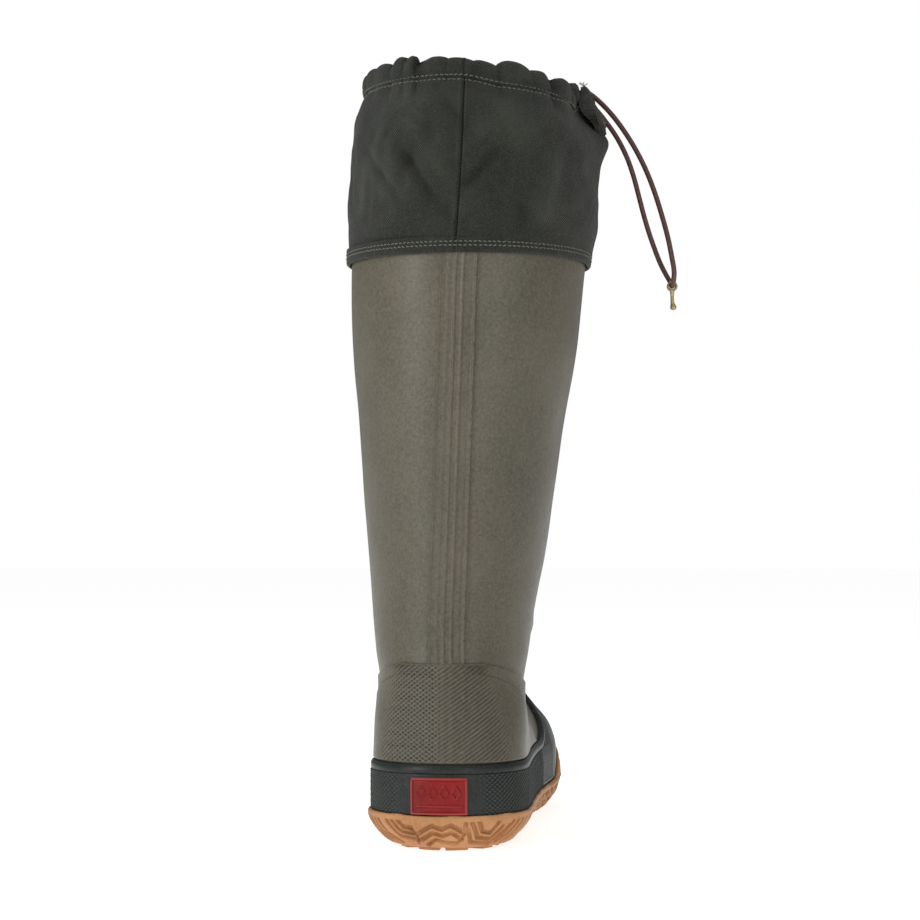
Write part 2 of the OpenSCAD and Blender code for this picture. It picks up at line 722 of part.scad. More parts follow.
outsole();
midsole();
shank();
insole_board();
footbed();
rubber_upper();
heel_counter();
toe_puff();
insulation();
lining();
ankle_overlay();
back_stay();
foxing();
side_panel_outer();
side_panel_inner();
toe_cap();
trim_strip();
heel_label();
collar_wall();
collar_hem();
drawcord_channel();
rim_tab();
drawcord_run();
drawcord_loop();
cord_hook();
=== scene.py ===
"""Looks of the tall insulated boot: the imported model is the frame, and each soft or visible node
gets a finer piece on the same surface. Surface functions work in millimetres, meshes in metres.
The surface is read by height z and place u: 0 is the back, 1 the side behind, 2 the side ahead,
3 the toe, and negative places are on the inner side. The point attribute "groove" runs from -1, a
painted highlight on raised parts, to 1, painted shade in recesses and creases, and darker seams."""

import math
import random

import bpy
import numpy as np
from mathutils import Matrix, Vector, noise


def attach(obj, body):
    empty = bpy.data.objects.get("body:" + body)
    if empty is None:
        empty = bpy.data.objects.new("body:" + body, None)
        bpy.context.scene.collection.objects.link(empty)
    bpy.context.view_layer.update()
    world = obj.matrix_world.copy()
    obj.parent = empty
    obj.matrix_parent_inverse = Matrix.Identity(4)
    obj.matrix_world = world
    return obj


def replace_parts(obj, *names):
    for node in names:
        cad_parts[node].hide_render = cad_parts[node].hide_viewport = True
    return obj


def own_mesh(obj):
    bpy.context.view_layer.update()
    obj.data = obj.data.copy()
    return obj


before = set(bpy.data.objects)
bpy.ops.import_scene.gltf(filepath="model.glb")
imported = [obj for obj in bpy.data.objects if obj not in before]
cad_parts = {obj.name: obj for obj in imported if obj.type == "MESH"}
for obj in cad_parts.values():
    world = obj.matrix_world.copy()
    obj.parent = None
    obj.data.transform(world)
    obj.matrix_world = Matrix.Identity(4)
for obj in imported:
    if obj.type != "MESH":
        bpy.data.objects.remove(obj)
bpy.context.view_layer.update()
MM = 0.001

# ---- Sizes, as in the part's source ----

HEM_Z = 318
SHAFT_TOP = 330
LINING_TOP = 334
SOLE_H = 20
BUMPER_H = 36
LUG_H = 4.5
TOE_SPRING = 11
RUBBER_T = 1.6
REINFORCE_T = 1.1
FOAM_T = 4.5
LINING_T = 1.2
MIDSOLE_T = 0.9
BOARD_T = 2.6
GAP = 0.3
OVERLAY_T = 1.4
OVERLAY_TOP = 100
FOXING_T = 2.4
FOXING_Z = 41.8
TRIM_W = 4.8
TRIM_Z = FOXING_Z + TRIM_W / 2
TRIM_TOP = 87.2
OVERLAY_Z = FOXING_Z + TRIM_W + 0.4
PANEL_BACK = 106
CAP_BACK = 150
STAY_W = 20
STAY_X = 3.5
LABEL_W = 30.4
LABEL_H = 19.4
LABEL_T = 1.3
LABEL_Z = SOLE_H + 0.9
CORD_D = 2.8
CHANNEL_Z = 413.5
WALL_TOP = 407.2
RIM_OFF = -5.3
MOUTH_Y = 32
MOUTH_GAP = 12
FOOT_FLOOR = SOLE_H + GAP + MIDSOLE_T + BOARD_T + GAP

# The last of a foot: its reach behind and ahead, and its half widths
HEEL = 43
TOE = 250
ANKLE = 39.3
BALL = 44
SHAFT = 64
LEAN_TOP = 11.4

BACK = [(0, HEEL - 3), (20, HEEL - 0.5), (44, HEEL), (80, HEEL - 4), (112, HEEL - 7), (150, HEEL - 5),
        (200, HEEL), (260, HEEL + 6), (318, HEEL + 10), (420, HEEL + 12)]
FRONT = [(0, TOE - 2), (20, TOE), (40, TOE), (50, TOE - 3), (58, TOE - 10), (64, TOE - 21),
         (69, TOE - 37), (73, TOE - 54), (78, TOE - 75), (84, TOE - 97), (91, TOE - 116),
         (100, TOE - 133), (112, TOE - 148), (128, TOE - 159), (150, TOE - 167), (180, TOE - 172),
         (230, TOE - 173), (318, TOE - 169), (420, TOE - 167)]
LEG_W = [(160, ANKLE + 9.6), (193, ANKLE + 13), (226, ANKLE + 16.3), (270, SHAFT - 3),
         (304, SHAFT - 0.8), (330, SHAFT + 0.2), (420, SHAFT - 0.5)]
REAR_W = [(0, 39.5), (20, 40), (44, 40), (66, ANKLE + 0.5), (88, ANKLE), (104, ANKLE + 2.7),
          (126, ANKLE + 5.4)] + LEG_W
FORE_W = [(0, BALL - 1), (20, BALL), (36, BALL), (44, BALL - 2), (51, BALL - 5), (58, BALL - 9.5),
          (66, BALL - 14.5), (73, BALL - 17), (82, BALL - 18), (92, BALL - 15), (104, BALL - 7),
          (116, BALL - 1), (126, ANKLE + 4.6)] + LEG_W
LEAN = [(60, 0), (90, -0.04), (104, -0.08), (126, -0.06), (160, 0.09), (193, 0.23), (226, 0.37),
        (270, 0.56), (304, 0.68), (340, 0.88), (380, 1.03), (420, 1)]
BACK_ARC = [(0, 40), (60, 42), (100, 52), (150, 59), (220, 58), (420, 66)]
FRONT_ARC = [(0, 68), (46, 70), (60, 86), (72, 96), (86, 92), (100, 84), (118, 72), (140, 62),
             (180, 58), (220, 58), (420, 66)]
WALL_OFF = [(316, 3.8), (330, 4.2), (358, 4.3), (384, 4.2), (396, 2.4), (WALL_TOP, -4.4)]
OVERLAY_EDGE = [(46, 103), (54, 86), (61, 71), (70, 52), (80, 30), (88, 10), (94, -10), (100, -30)]
PANEL_EDGE = [(41.2, PANEL_BACK), (42.8, 119.5), (45.6, 127.6), (48.8, 133.6), (53.5, 139.2),
              (60, 143.4)]
TRIM_RISE = [(TRIM_Z + 0.4, 110), (46, 118), (49, 126), (53.5, 133), (60, 138.5), (67, 142),
             (74, 144), (80, 145), (84, 144.5)]

# ---- The boot's surface ----


def smooth(t):
    """Ease from 0 to 1 while t runs from 0 to 1."""
    t = np.clip(t, 0, 1)
    return t * t * (3 - 2 * t)


def mix(a, b, t):
    return a + (b - a) * t


def curve(points, x):
    """Smooth curve through the points (x, value), the same as in the part's source."""
    px, py = np.array(points, float).T
    x = np.asarray(x, float)
    slope = np.empty_like(py)
    slope[1:-1] = (py[2:] - py[:-2]) / (px[2:] - px[:-2])
    slope[0] = (py[1] - py[0]) / (px[1] - px[0])
    slope[-1] = (py[-1] - py[-2]) / (px[-1] - px[-2])
    i = np.clip(np.searchsorted(px, x, side="right") - 1, 0, len(px) - 2)
    h = px[i + 1] - px[i]
    t = np.clip((x - px[i]) / h, 0, 1)
    a, b, ma, mb = py[i], py[i + 1], slope[i] * h, slope[i + 1] * h
    return a + ma * t + (3 * (b - a) - 2 * ma - mb) * t**2 + (ma + mb - 2 * (b - a)) * t**3


def column(rows, k, at):
    """Smooth curve through value k of each row, read at row number at."""
    return curve([(i, row[k]) for i, row in enumerate(rows)], at)


def foot_x(y):
    """The foot's middle line at distance y along it."""
    return 1.5 * smooth((y - 20) / 60) - 12 * smooth((y - 80) / 190)


def spring(y):
    """How far the toe is lifted at distance y along the foot."""
    return TOE_SPRING * np.maximum(0, (y - 140) / (TOE - 140)) ** 2


def face(z, u):
    """Points of the upper's outer face at heights z and places u, in mm."""
    z, u = np.broadcast_arrays(np.asarray(z, float), np.asarray(u, float))
    u = np.where(u > 3, u - 6, np.where(u < -3, u + 6, u))
    side, a = np.where(u < 0, -1.0, 1.0), np.abs(u)
    yb, yf, rb, rf = -curve(BACK, z), curve(FRONT, z), curve(BACK_ARC, z), curve(FRONT_ARC, z)
    wr, wf = curve(REAR_W, z), curve(FORE_W, z)
    waist = np.where(side < 0, 5, 5.5) * (1 - smooth((z - 40) / 50))
    t = np.clip(a - 1, 0, 1)
    w = mix(wr, wf, smooth(t)) - waist * np.sin(math.pi * t) ** 2
    q = math.pi / 2
    x = np.where(a < 1, wr * np.sin(q * a), np.where(a < 2, w, wf * np.cos(q * (a - 2))))
    y = np.where(a < 1, yb + rb * (1 - np.cos(q * a)),
                 np.where(a < 2, mix(yb + rb, yf - rf, t), yf - rf + rf * np.sin(q * (a - 2))))
    x = side * x + foot_x(y) * (1 - smooth((z - 60) / 60)) + LEAN_TOP * curve(LEAN, z)
    return np.stack([x, y, z + spring(y)], -1)


def unit(v):
    return v / np.linalg.norm(v, axis=-1, keepdims=True)


def outward(z, u):
    """Way out of the boot's face."""
    du, dz = 0.02, 0.5
    return unit(np.cross(face(z, u + du) - face(z, u - du), face(z + dz, u) - face(z - dz, u)))


def skin(z, u, off):
    """Points at a distance off the boot's face."""
    return face(z, u) + np.asarray(off, float)[..., None] * outward(z, u)


def place(z, y):
    """Place u of the point at height z and distance y along the foot."""
    yb, yf, rb, rf = -curve(BACK, z), curve(FRONT, z), curve(BACK_ARC, z), curve(FRONT_ARC, z)
    back = np.arccos(np.clip(1 - (y - yb) / rb, -1, 1)) / (math.pi / 2)
    ahead = 2 + np.arcsin(np.clip((y - yf + rf) / rf, -1, 1)) / (math.pi / 2)
    return np.where(y < yb + rb, back,
                    np.where(y < yf - rf, 1 + (y - yb - rb) / (yf - rf - yb - rb), ahead))


def arc_length(points, start):
    """Distance along each row of points, counted from the column start."""
    step = np.linalg.norm(np.diff(points, axis=1), axis=-1)
    s = np.concatenate([np.zeros((len(points), 1)), np.cumsum(step, axis=1)], axis=1)
    return s - s[:, start:start + 1]


def fractal(p, scale, seed):
    """Soft noise at each point, from about -1 to 1."""
    flat = np.asarray(p, float).reshape(-1, 3) / scale
    shift = Vector((seed * 7.13, seed * 3.71, seed * 1.37))
    out = [noise.fractal(Vector(q) + shift, 0.9, 2.0, 2) for q in flat]
    return np.array(out).reshape(np.asarray(p).shape[:-1])


# ---- Meshes ----


def add_object(name, data):
    """Object with this data, linked to the scene."""
    obj = bpy.data.objects.new(name, data)
    bpy.context.scene.collection.objects.link(obj)
    return obj


def new_object(name, verts, faces, look, body="boot", crease=60, groove=None):
    """Piece with a look of MATS, shaded smooth up to the crease angle."""
    mesh = bpy.data.meshes.new(name)
    mesh.from_pydata((np.asarray(verts, float).reshape(-1, 3) * MM).tolist(), [], faces)
    if groove is not None:
        data = np.zeros(len(mesh.vertices), np.float32)
        data[:np.size(groove)] = np.clip(np.ravel(groove), -1, 1)
        mesh.attributes.new("groove", "FLOAT", "POINT").data.foreach_set("value", data)
    mesh.shade_smooth()
    mesh.set_sharp_from_angle(angle=math.radians(crease))
    mesh.materials.append(MATS[look])
    obj = add_object(name, mesh)
    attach(obj, body)
    return obj


def quads(rows, cols, start=0, wrap=False, flip=False):
    """Faces of a grid of points, numbered from start; wrap joins the last column to the first."""
    out = []
    for r in range(rows - 1):
        for c in range(cols if wrap else cols - 1):
            k = (c + 1) % cols
            q = (start + r * cols + c, start + r * cols + k, start + (r + 1) * cols + k,
                 start + (r + 1) * cols + c)
            out.append(q[::-1] if flip else q)
    return out


def shell(name, outer, inner, look, wrap=False, **kw):
    """Closed piece between an outer and an inner grid of the same size."""
    rows, cols = outer.shape[:2]
    n = rows * cols
    faces = quads(rows, cols, 0, wrap) + quads(rows, cols, n, wrap, True)
    for c in range(cols if wrap else cols - 1):
        k = (c + 1) % cols
        last = (rows - 1) * cols
        faces.append((k, c, n + c, n + k))
        faces.append((last + c, last + k, n + last + k, n + last + c))
    if not wrap:
        for r in range(rows - 1):
            a, b = r * cols, (r + 1) * cols
            faces.append((a, b, n + b, n + a))
            faces.append((b + cols - 1, a + cols - 1, n + a + cols - 1, n + b + cols - 1))
    verts = np.concatenate([outer.reshape(-1, 3), inner.reshape(-1, 3)])
    return new_object(name, verts, faces, look, **kw)


def loop_faces(rows, cols):
    """Faces over rings of points that go right round, with the last ring joined to the first."""
    last = (rows - 1) * cols
    closing = [(last + c, last + (c + 1) % cols, (c + 1) % cols, c) for c in range(cols)]
    return quads(rows, cols, 0, True) + closing


def band(name, rings, look, closed=True, **kw):
    """Rings that each go right round; closed joins the last ring to the first."""
    rings = np.asarray(rings)
    rows, cols = rings.shape[:2]
    if closed:
        faces = loop_faces(rows, cols)
    else:
        ends = [tuple(range(cols))[::-1], tuple((rows - 1) * cols + c for c in range(cols))]
        faces = quads(rows, cols, 0, True) + ends
    return new_object(name, rings, faces, look, **kw)


def add_tube(verts, faces, points, radius, sides):
    """Add a round tube along points, closed at its ends, to lists of vertices and faces."""
    points = np.asarray(points, float)
    n = len(points)
    ways = unit(np.gradient(points, axis=0))
    side = unit(np.cross(ways[0], [0.3, 0.2, 1.0]))
    start = len(verts)
    for i in range(n):
        side = unit(side - np.dot(side, ways[i]) * ways[i])
        other = np.cross(side, ways[i])
        r = radius[i] if np.ndim(radius) else radius
        for k in range(sides):
            a = 2 * math.pi * k / sides
            verts.append(points[i] + r * (math.cos(a) * side + math.sin(a) * other))
    faces += quads(n, sides, start, True)
    faces.append(tuple(start + k for k in range(sides))[::-1])
    faces.append(tuple(start + (n - 1) * sides + k for k in range(sides)))


STITCH_L = 1.9
# Shares of a stitch's length, with its height and its thickness there as shares of its radius
STITCH_SHAPE = [(0, -0.9, 0.6), (0.2, 0.5, 1), (0.5, 0.8, 1), (0.8, 0.5, 1), (1, -0.9, 0.6)]


def stitch_row(name, centre, normal, body, seed, pitch=2.6, radius=0.34, wobble=0.4):
    """Row of short stitches along the line centre, lying on the cloth under normal."""
    rng = random.Random(seed)
    s = np.concatenate([[0], np.cumsum(np.linalg.norm(np.diff(centre, axis=0), axis=1))])
    verts, faces = [], []
    at = lambda x: np.array([np.interp(x, s, centre[:, k]) for k in range(3)])
    way = lambda x: np.array([np.interp(x, s, normal[:, k]) for k in range(3)])
    x = pitch / 2
    while x + STITCH_L < s[-1]:
        side = rng.uniform(-wobble, wobble)
        a, b = at(x), at(x + STITCH_L)
        across = unit(np.cross(b - a, way(x)))
        line = [mix(a, b, t) + way(x) * radius * h + across * side * (1 - 2 * t) for t, h, _ in STITCH_SHAPE]
        add_tube(verts, faces, line, [radius * thick for _, _, thick in STITCH_SHAPE], 6)
        x += pitch * rng.uniform(0.93, 1.07)
    return new_object(name, verts, faces, "thread", body)


# ---- Materials ----


class Nodes:
    """A small helper that builds a material's node tree."""

    def __init__(self, name):
        self.mat = bpy.data.materials.new(name)
        self.mat.use_nodes = True
        self.tree = self.mat.node_tree
        self.shader = self.tree.nodes["Principled BSDF"]
        self.where = self.tree.nodes.new("ShaderNodeTexCoord").outputs["Object"]

    def feed(self, socket, value):
        """Link the socket to another one, or set its value."""
        if isinstance(value, bpy.types.NodeSocket):
            self.tree.links.new(value, socket)
        elif socket.type == "RGBA" and len(value) == 3:
            socket.default_value = (*value, 1)
        else:
            socket.default_value = value

    def node(self, kind, inputs=(), **settings):
        n = self.tree.nodes.new(kind)
        for key, value in settings.items():
            setattr(n, key, value)
        for key, value in dict(inputs).items():
            self.feed(n.inputs[key], value)
        return n

    def noise(self, size_mm, detail=4.0, rough=0.5, stretch=None):
        """Noise whose features are about size_mm across."""
        where = self.where
        if stretch:
            where = self.node("ShaderNodeMapping", {"Vector": where, "Scale": stretch}).outputs[0]
        return self.node("ShaderNodeTexNoise", {"Vector": where, "Scale": 1000 / size_mm,
                                                "Detail": detail, "Roughness": rough}).outputs["Fac"]

    def math(self, op, a, b=0.0):
        return self.node("ShaderNodeMath", {0: a, 1: b}, operation=op).outputs[0]

    def times(self, a, b):
        return self.math("MULTIPLY", a, b)

    def ramp(self, fac, stops):
        n = self.node("ShaderNodeValToRGB", {"Fac": fac})
        while len(n.color_ramp.elements) < len(stops):
            n.color_ramp.elements.new(0.5)
        for e, (at, colour) in zip(n.color_ramp.elements, stops):
            e.position = at
            e.color = (*colour, 1)
        return n.outputs["Color"]

    def mask(self, fac, low, high):
        """0 below low and 1 above high."""
        return self.ramp(fac, [(low, (0, 0, 0)), (high, (1, 1, 1))])

    def mix(self, fac, a, b):
        n = self.node("ShaderNodeMix", data_type="RGBA")
        for key, value in (("Factor", fac), ("A", a), ("B", b)):
            self.feed([s for s in n.inputs if s.name == key and s.enabled][0], value)
        return [s for s in n.outputs if s.enabled][0]

    def stain(self, colour, mask, share, other):
        """The colour, turned to the other one by a share where the mask is 1."""
        return self.mix(self.times(mask, share), colour, other)

    def groove(self):
        return self.node("ShaderNodeAttribute", attribute_name="groove").outputs["Fac"]

    def bump(self, height, distance_mm, strength=1.0, after=None):
        inputs = {"Height": height, "Distance": distance_mm * MM, "Strength": strength}
        if after is not None:
            inputs["Normal"] = after
        return self.node("ShaderNodeBump", inputs).outputs["Normal"]

    def done(self, colour, rough, normal=None, **fixed):
        """Feed the shader; a fixed value is named as its socket is, in lower case."""
        for key, value in (("Base Color", colour), ("Roughness", rough), ("Normal", normal)):
            if value is not None:
                self.feed(self.shader.inputs[key], value)
        for key, value in fixed.items():
            self.shader.inputs[key.replace("_", " ").title().replace("Ior", "IOR")].default_value = value
        return self.mat


WHITE = (1, 1, 1)
BLACK = (0, 0, 0)


def mixed(a, b, t):
    """Colour between a and b."""
    return tuple(mix(x, y, t) for x, y in zip(a, b))


def lit(r, g, b):
    """Linear colour of an sRGB one, given from 0 to 255."""
    return tuple(((c / 255 + 0.055) / 1.055) ** 2.4 if c > 10 else c / 255 / 12.92 for c in (r, g, b))


def rubber(name, base, dark, light, rough=0.5, grain=0.06, spots=0.5, speckle=0.35, warm=0.0):
    """Matt moulded rubber: soft blotches, a fine grain, light specks, painted shade in its grooves and
    a painted highlight on its ridges."""
    n = Nodes(name)
    fine = n.noise(1.1, 5, 0.6)
    colour = n.ramp(n.noise(45, 3), [(0.3, dark), (0.52, base), (0.75, light)])
    colour = n.stain(colour, n.noise(9, 6, 0.65), spots * 0.35, dark)
    colour = n.stain(colour, n.mask(n.noise(34, 3, 0.5, (1, 1, 0.2)), 0.42, 0.76), warm, lit(104, 74, 58))
    colour = n.stain(colour, n.mask(n.noise(1.7, 5, 0.75), 0.36, 0.64), speckle, mixed(light, WHITE, 0.06))
    # painted shade where the groove attribute is positive, a painted highlight where it is negative
    dirt = n.groove()
    colour = n.stain(colour, dirt, 0.5, mixed(dark, BLACK, 0.5))
    colour = n.stain(colour, dirt, -1.0, mixed(light, WHITE, 0.1))
    rub = n.math("ADD", n.times(n.noise(6, 5), 0.16), rough - 0.08)
    normal = n.bump(n.noise(14, 2), 0.25, 0.35, n.bump(fine, grain))
    return n.done(colour, rub, normal, specular_ior_level=0.25)


YARN = 0.0015             # pitch of the canvas' yarns, in metres
YARNS_ROUND = 285         # and how many of them go round the leg
LEG_MIDDLE = (0.010, 0.012)   # x and y of the leg's middle line


def canvas(name, base, dark, light):
    """Waxed plain-weave canvas of heavy yarn, darker along its seams, with painted shade in its creases and a
    painted highlight on its folds.
    """
    n = Nodes(name)
    where = n.node("ShaderNodeSeparateXYZ", {"Vector": n.where})
    around = n.math("ARCTAN2", n.math("SUBTRACT", where.outputs["X"], LEG_MIDDLE[0]),
                    n.math("SUBTRACT", where.outputs["Y"], LEG_MIDDLE[1]))
    warp_wave = n.math("SINE", n.times(around, YARNS_ROUND))
    weft_wave = n.math("SINE", n.times(where.outputs["Z"], 2 * math.pi / YARN))
    weave = n.times(warp_wave, weft_wave)
    slub = n.noise(1.3, 4, 0.65, (1, 1, 3))
    colour = n.ramp(n.noise(26, 4, 0.6), [(0.28, dark), (0.5, base), (0.74, mixed(base, light, 0.6))])
    fleck = n.mask(n.noise(1.05, 3, 0.6), 0.47, 0.58)
    yarn = n.times(n.math("ADD", n.times(weave, 0.5), 0.5), slub)
    colour = n.stain(colour, yarn, 0.85, light)
    colour = n.stain(colour, fleck, 0.3, light)
    colour = n.stain(colour, n.mask(n.noise(1.5, 4, 0.8), 0.44, 0.6), 0.3, mixed(dark, BLACK, 0.6))
    # painted shade in creases where the groove attribute is positive, a painted highlight on folds where it
    # is negative
    dirt = n.groove()
    colour = n.stain(colour, dirt, 0.85, mixed(dark, BLACK, 0.75))
    colour = n.stain(colour, dirt, -0.7, light)
    normal = n.bump(n.math("ADD", weave, slub), 0.3, 1.0)
    normal = n.bump(n.noise(9, 3), 0.6, 0.4, normal)
    return n.done(colour, n.math("ADD", n.times(slub, 0.2), 0.7), normal,
                  specular_ior_level=0.2, sheen_weight=0.1, sheen_roughness=0.5)


def plain(name, base, dark, rough, size_mm=2.0, depth_mm=0.1, **fixed):
    """Noise-coloured material for foam, board, fleece, thread and metal."""
    n = Nodes(name)
    fac = n.noise(size_mm, 5, 0.6)
    colour = n.ramp(fac, [(0.3, dark), (0.7, base)])
    rub = n.math("ADD", n.times(n.noise(size_mm * 4, 3), 0.2), rough - 0.1)
    return n.done(colour, rub, n.bump(fac, depth_mm), **fixed)


MATS = {
    "olive": rubber("olive_rubber", lit(76, 72, 58), lit(66, 63, 50), lit(86, 82, 68), 0.38, 0.09,
                    speckle=0.5, warm=0.12),
    "green": rubber("green_rubber", lit(20, 27, 23), lit(14, 20, 17), lit(34, 41, 35), 0.42, speckle=0.25),
    # green rubber of the side panels and toe cap, made lighter as a painted sheen
    "panel": rubber("green_rubber_painted_sheen", lit(60, 66, 62), lit(48, 54, 50), lit(74, 80, 75), 0.42),
    "gum": rubber("gum_rubber", lit(171, 120, 75), lit(144, 95, 55), lit(192, 141, 95), 0.5, 0.06, 0.8),
    "red": rubber("red_rubber", lit(127, 4, 6), lit(106, 2, 3), lit(150, 16, 15), 0.45, speckle=0.12),
    "canvas": canvas("canvas", lit(21, 24, 19), lit(15, 18, 14), lit(62, 65, 56)),
    "thread": plain("thread", lit(112, 113, 101), lit(60, 62, 54), 0.7, 0.6, 0.08),
    "fray": plain("frayed_thread", lit(176, 172, 150), lit(130, 128, 110), 0.8, 0.6, 0.05),
    "cord": plain("waxed_cord", lit(98, 66, 58), lit(52, 32, 28), 0.5, 0.9, 0.16),
    "brass": plain("brass", lit(190, 174, 128), lit(150, 132, 84), 0.42, 1.6, 0.02, metallic=0.85),
    "fleece": plain("fleece", lit(70, 66, 60), lit(44, 42, 38), 0.95, 1.1, 0.5, sheen_weight=0.4),
    "foam": plain("foam", lit(40, 40, 41), lit(26, 26, 27), 0.85, 0.8, 0.15),
    "inner_rubber": plain("inner_rubber", lit(30, 30, 30), lit(20, 20, 20), 0.7, 1.5, 0.05),
    "board": plain("board", lit(150, 120, 84), lit(120, 92, 60), 0.9, 0.8, 0.1),
    "midsole": plain("midsole", lit(200, 198, 190), lit(180, 178, 170), 0.8, 1.0, 0.1),
    "steel": plain("steel", lit(170, 170, 172), lit(140, 140, 142), 0.35, 0.5, 0.01, metallic=1.0),
}

# ---- Camera, first: the boot is seen from behind and a little from its outer side ----

HEEL_BACK = HEEL + 1     # about the back of the heel, this far behind the origin
VIEW_DISTANCE = 1200     # from there to the eye
VIEW_TURN = math.radians(7.5)
FRAME_W = 484.8          # width of the view there
MIDDLE_Z = 207.66        # height there in the middle of the view
EYE_Z = 165.5
EYE_SIDE = 5.27          # the eye is this far to the right of the origin

cam_data = bpy.data.cameras.new("camera")
cam = add_object("camera", cam_data)
bpy.context.scene.camera = cam
cam_data.lens = cam_data.sensor_width * VIEW_DISTANCE / FRAME_W
ahead = Vector((-math.sin(VIEW_TURN), math.cos(VIEW_TURN), 0))
right = Vector((math.cos(VIEW_TURN), math.sin(VIEW_TURN), 0))
eye = -(VIEW_DISTANCE + HEEL_BACK) * ahead + EYE_SIDE * right
eye.z = EYE_Z
cam.location = eye * MM
cam_data.shift_y = (MIDDLE_Z - EYE_Z) / FRAME_W
cam.rotation_euler = (math.pi / 2, 0, VIEW_TURN)
cam_data.clip_end = 20

# ---- Grids over the boot ----

RING = np.linspace(-3, 3, 301)[:-1]   # places of a ring right round the boot
EDGE_R = 0.9                          # round edge of the rubber plates


def marks(length, pitch, edge):
    """Distances along a length, a pitch apart, and closer together near both ends."""
    near = edge * np.array([0, 0.06, 0.25, 0.55, 1.0])
    middle = np.linspace(edge, length - edge, max(3, int((length - 2 * edge) / pitch) + 1))[1:-1]
    return np.concatenate([near, middle, length - near[::-1]])


def rounded(d, radius):
    """Height of a rounded edge, from 0 to 1, at distance d from it."""
    t = np.clip(d / radius, 0, 1)
    return np.sqrt(1 - (1 - t) ** 2)


def patch(z0, z1, low, high, pitch_z, pitch_s, edge=EDGE_R):
    """Grid over part of the boot between heights z0 and z1 and places low(z) and high(z).
    Returns the heights, the places, the arc length from the back line and the distance
    to the nearest edge, all of one shape."""
    up = marks(z1 - z0, pitch_z, edge)
    rows = z0 + up
    widest = max(np.linalg.norm(np.diff(face(z, np.linspace(low(z), high(z), 200)), axis=0),
                                axis=1).sum() for z in rows[::6])
    shares = marks(widest, pitch_s, edge) / widest
    us, ss, ds = [], [], []
    for z, v in zip(rows, up):
        u = np.linspace(low(z), high(z), 260)
        s = np.concatenate([[0], np.cumsum(np.linalg.norm(np.diff(face(z, u), axis=0), axis=1))])
        us.append(np.interp(shares * s[-1], s, u))
        ss.append(shares * s[-1] - np.interp(0, u, s))
        across = np.minimum(shares, 1 - shares) * s[-1]
        ds.append(np.minimum(across, min(v, z1 - z0 - v)))
    u = np.array(us)
    return np.broadcast_to(rows[:, None], u.shape), u, np.array(ss), np.array(ds)


def plate(name, grid, thick, relief, look, relief_shading=None):
    """Plate on the boot with rounded edges; relief is added to its face, in mm, and its shading runs
    from -1, a painted highlight on the relief's tops, to 1, painted shade in its recesses."""
    z, u, _, d = grid
    lift = mix(0.1, GAP + thick, rounded(d, EDGE_R)) + relief * rounded(d, EDGE_R * 1.6)
    obj = shell(name, skin(z, u, lift), skin(z, u, -0.15), look, crease=70, groove=relief_shading)
    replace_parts(obj, name)


def ridge(x, at, width):
    """A soft ridge, 1 high, about the place at."""
    return np.exp(-((x - at) / width) ** 2)


def ribs(s, z, pitch, angle):
    """Round ribs across the direction at an angle from the horizontal, from 0 to 1."""
    way = s * math.cos(angle) + z * math.sin(angle)
    return 0.5 + 0.5 * np.cos(2 * math.pi * way / pitch)


# ---- Upper ----

def make_upper():
    """The rubber upper, a little uneven, as a wall with an inner face."""
    rows = np.concatenate([[SOLE_H + GAP], np.arange(23, SHAFT_TOP, 2.5), [SHAFT_TOP]])
    outer = np.array([skin(z, RING, 0) for z in rows])
    way = np.array([outward(z, RING) for z in rows])
    outer = outer + (0.35 * fractal(outer, 42, 3))[..., None] * way
    inner = np.array([skin(z, RING, -RUBBER_T) for z in rows[::-1]])
    obj = band("upper", np.concatenate([outer, inner]), "olive", crease=35)
    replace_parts(obj, "rubber_upper")


# Ribs of the stay: distance from its middle, width and height
STAY_RIBS = [(-9.2, 0.7, 0.75), (-4.9, 0.7, 0.7), (-1.4, 0.8, 0.85), (2.6, 0.9, 0.85)]


def make_stay():
    """Ribbed strip up the back, with a beaded edge on the outer side."""
    half = STAY_W / 2 + 0.6
    rows = np.arange(OVERLAY_TOP - 1.5, HEM_Z - 1, 0.8)
    z, x = np.meshgrid(rows, np.linspace(-half, half, 76), indexing="ij")
    u = np.arcsin((STAY_X + x) / curve(REAR_W, z)) / (math.pi / 2)
    inside = smooth((half - np.abs(x)) / 1.2)
    bead = ridge(x, 9.1, 0.75) * (0.95 + 0.4 * np.sin(z * 2 * math.pi / 1.5))
    relief = 0.32 + bead + 0.3 * smooth((4 - np.abs(x + 1)) / 2) - 0.3 * ridge(x, 7.4, 0.7)
    for at, width, high in STAY_RIBS:
        relief = relief + high * ridge(x, at, width)
    obj = shell("back_stay", skin(z, u, inside * relief), skin(z, u, -0.3), "olive")
    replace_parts(obj, "back_stay")


def make_overlay():
    """Ankle overlay: diamonds on the inner side of the stay, slanting ribs on the outer side."""
    edge = lambda z: float(place(z, float(curve(OVERLAY_EDGE, z))))
    grid = patch(OVERLAY_Z, OVERLAY_TOP, lambda z: -edge(z), edge, 0.42, 0.45)
    z, _, s, d = grid
    reach = 31 + (OVERLAY_TOP - z) * 0.24
    zone = smooth((reach + 3 - np.abs(s + 1)) / 17) * smooth((d - 0.5) / 1.2)
    pitch = 1.95
    rising = ribs(s, z, pitch, math.radians(125))
    falling = ribs(s, z, pitch, math.radians(55))
    left = 1 - smooth((s + 3) / 5)
    texture = mix(rising, np.maximum(rising, falling) ** 1.6, left)
    relief = zone * (texture - 0.5) * (0.9 + 0.2 * left)
    # the stay shows through it
    for at in (-9, -4.9, -1.4, 2.6, 9):
        relief = relief + 0.25 * ridge(s, STAY_X + at, 1.1)
    # second layer: its edge runs down and ahead on both sides
    step = 95 - 0.0058 * np.maximum(0, np.abs(s) - 10) ** 2
    relief = relief + 0.55 * smooth((step - z) / 0.9) * smooth((np.abs(s) - 14) / 12)
    # painted shade between the ribs and diamonds and a painted highlight on their tops
    plate("ankle_overlay", grid, OVERLAY_T - 0.4, relief, "olive",
          relief_shading=zone * (0.45 - texture) * (0.45 + 0.25 * left))


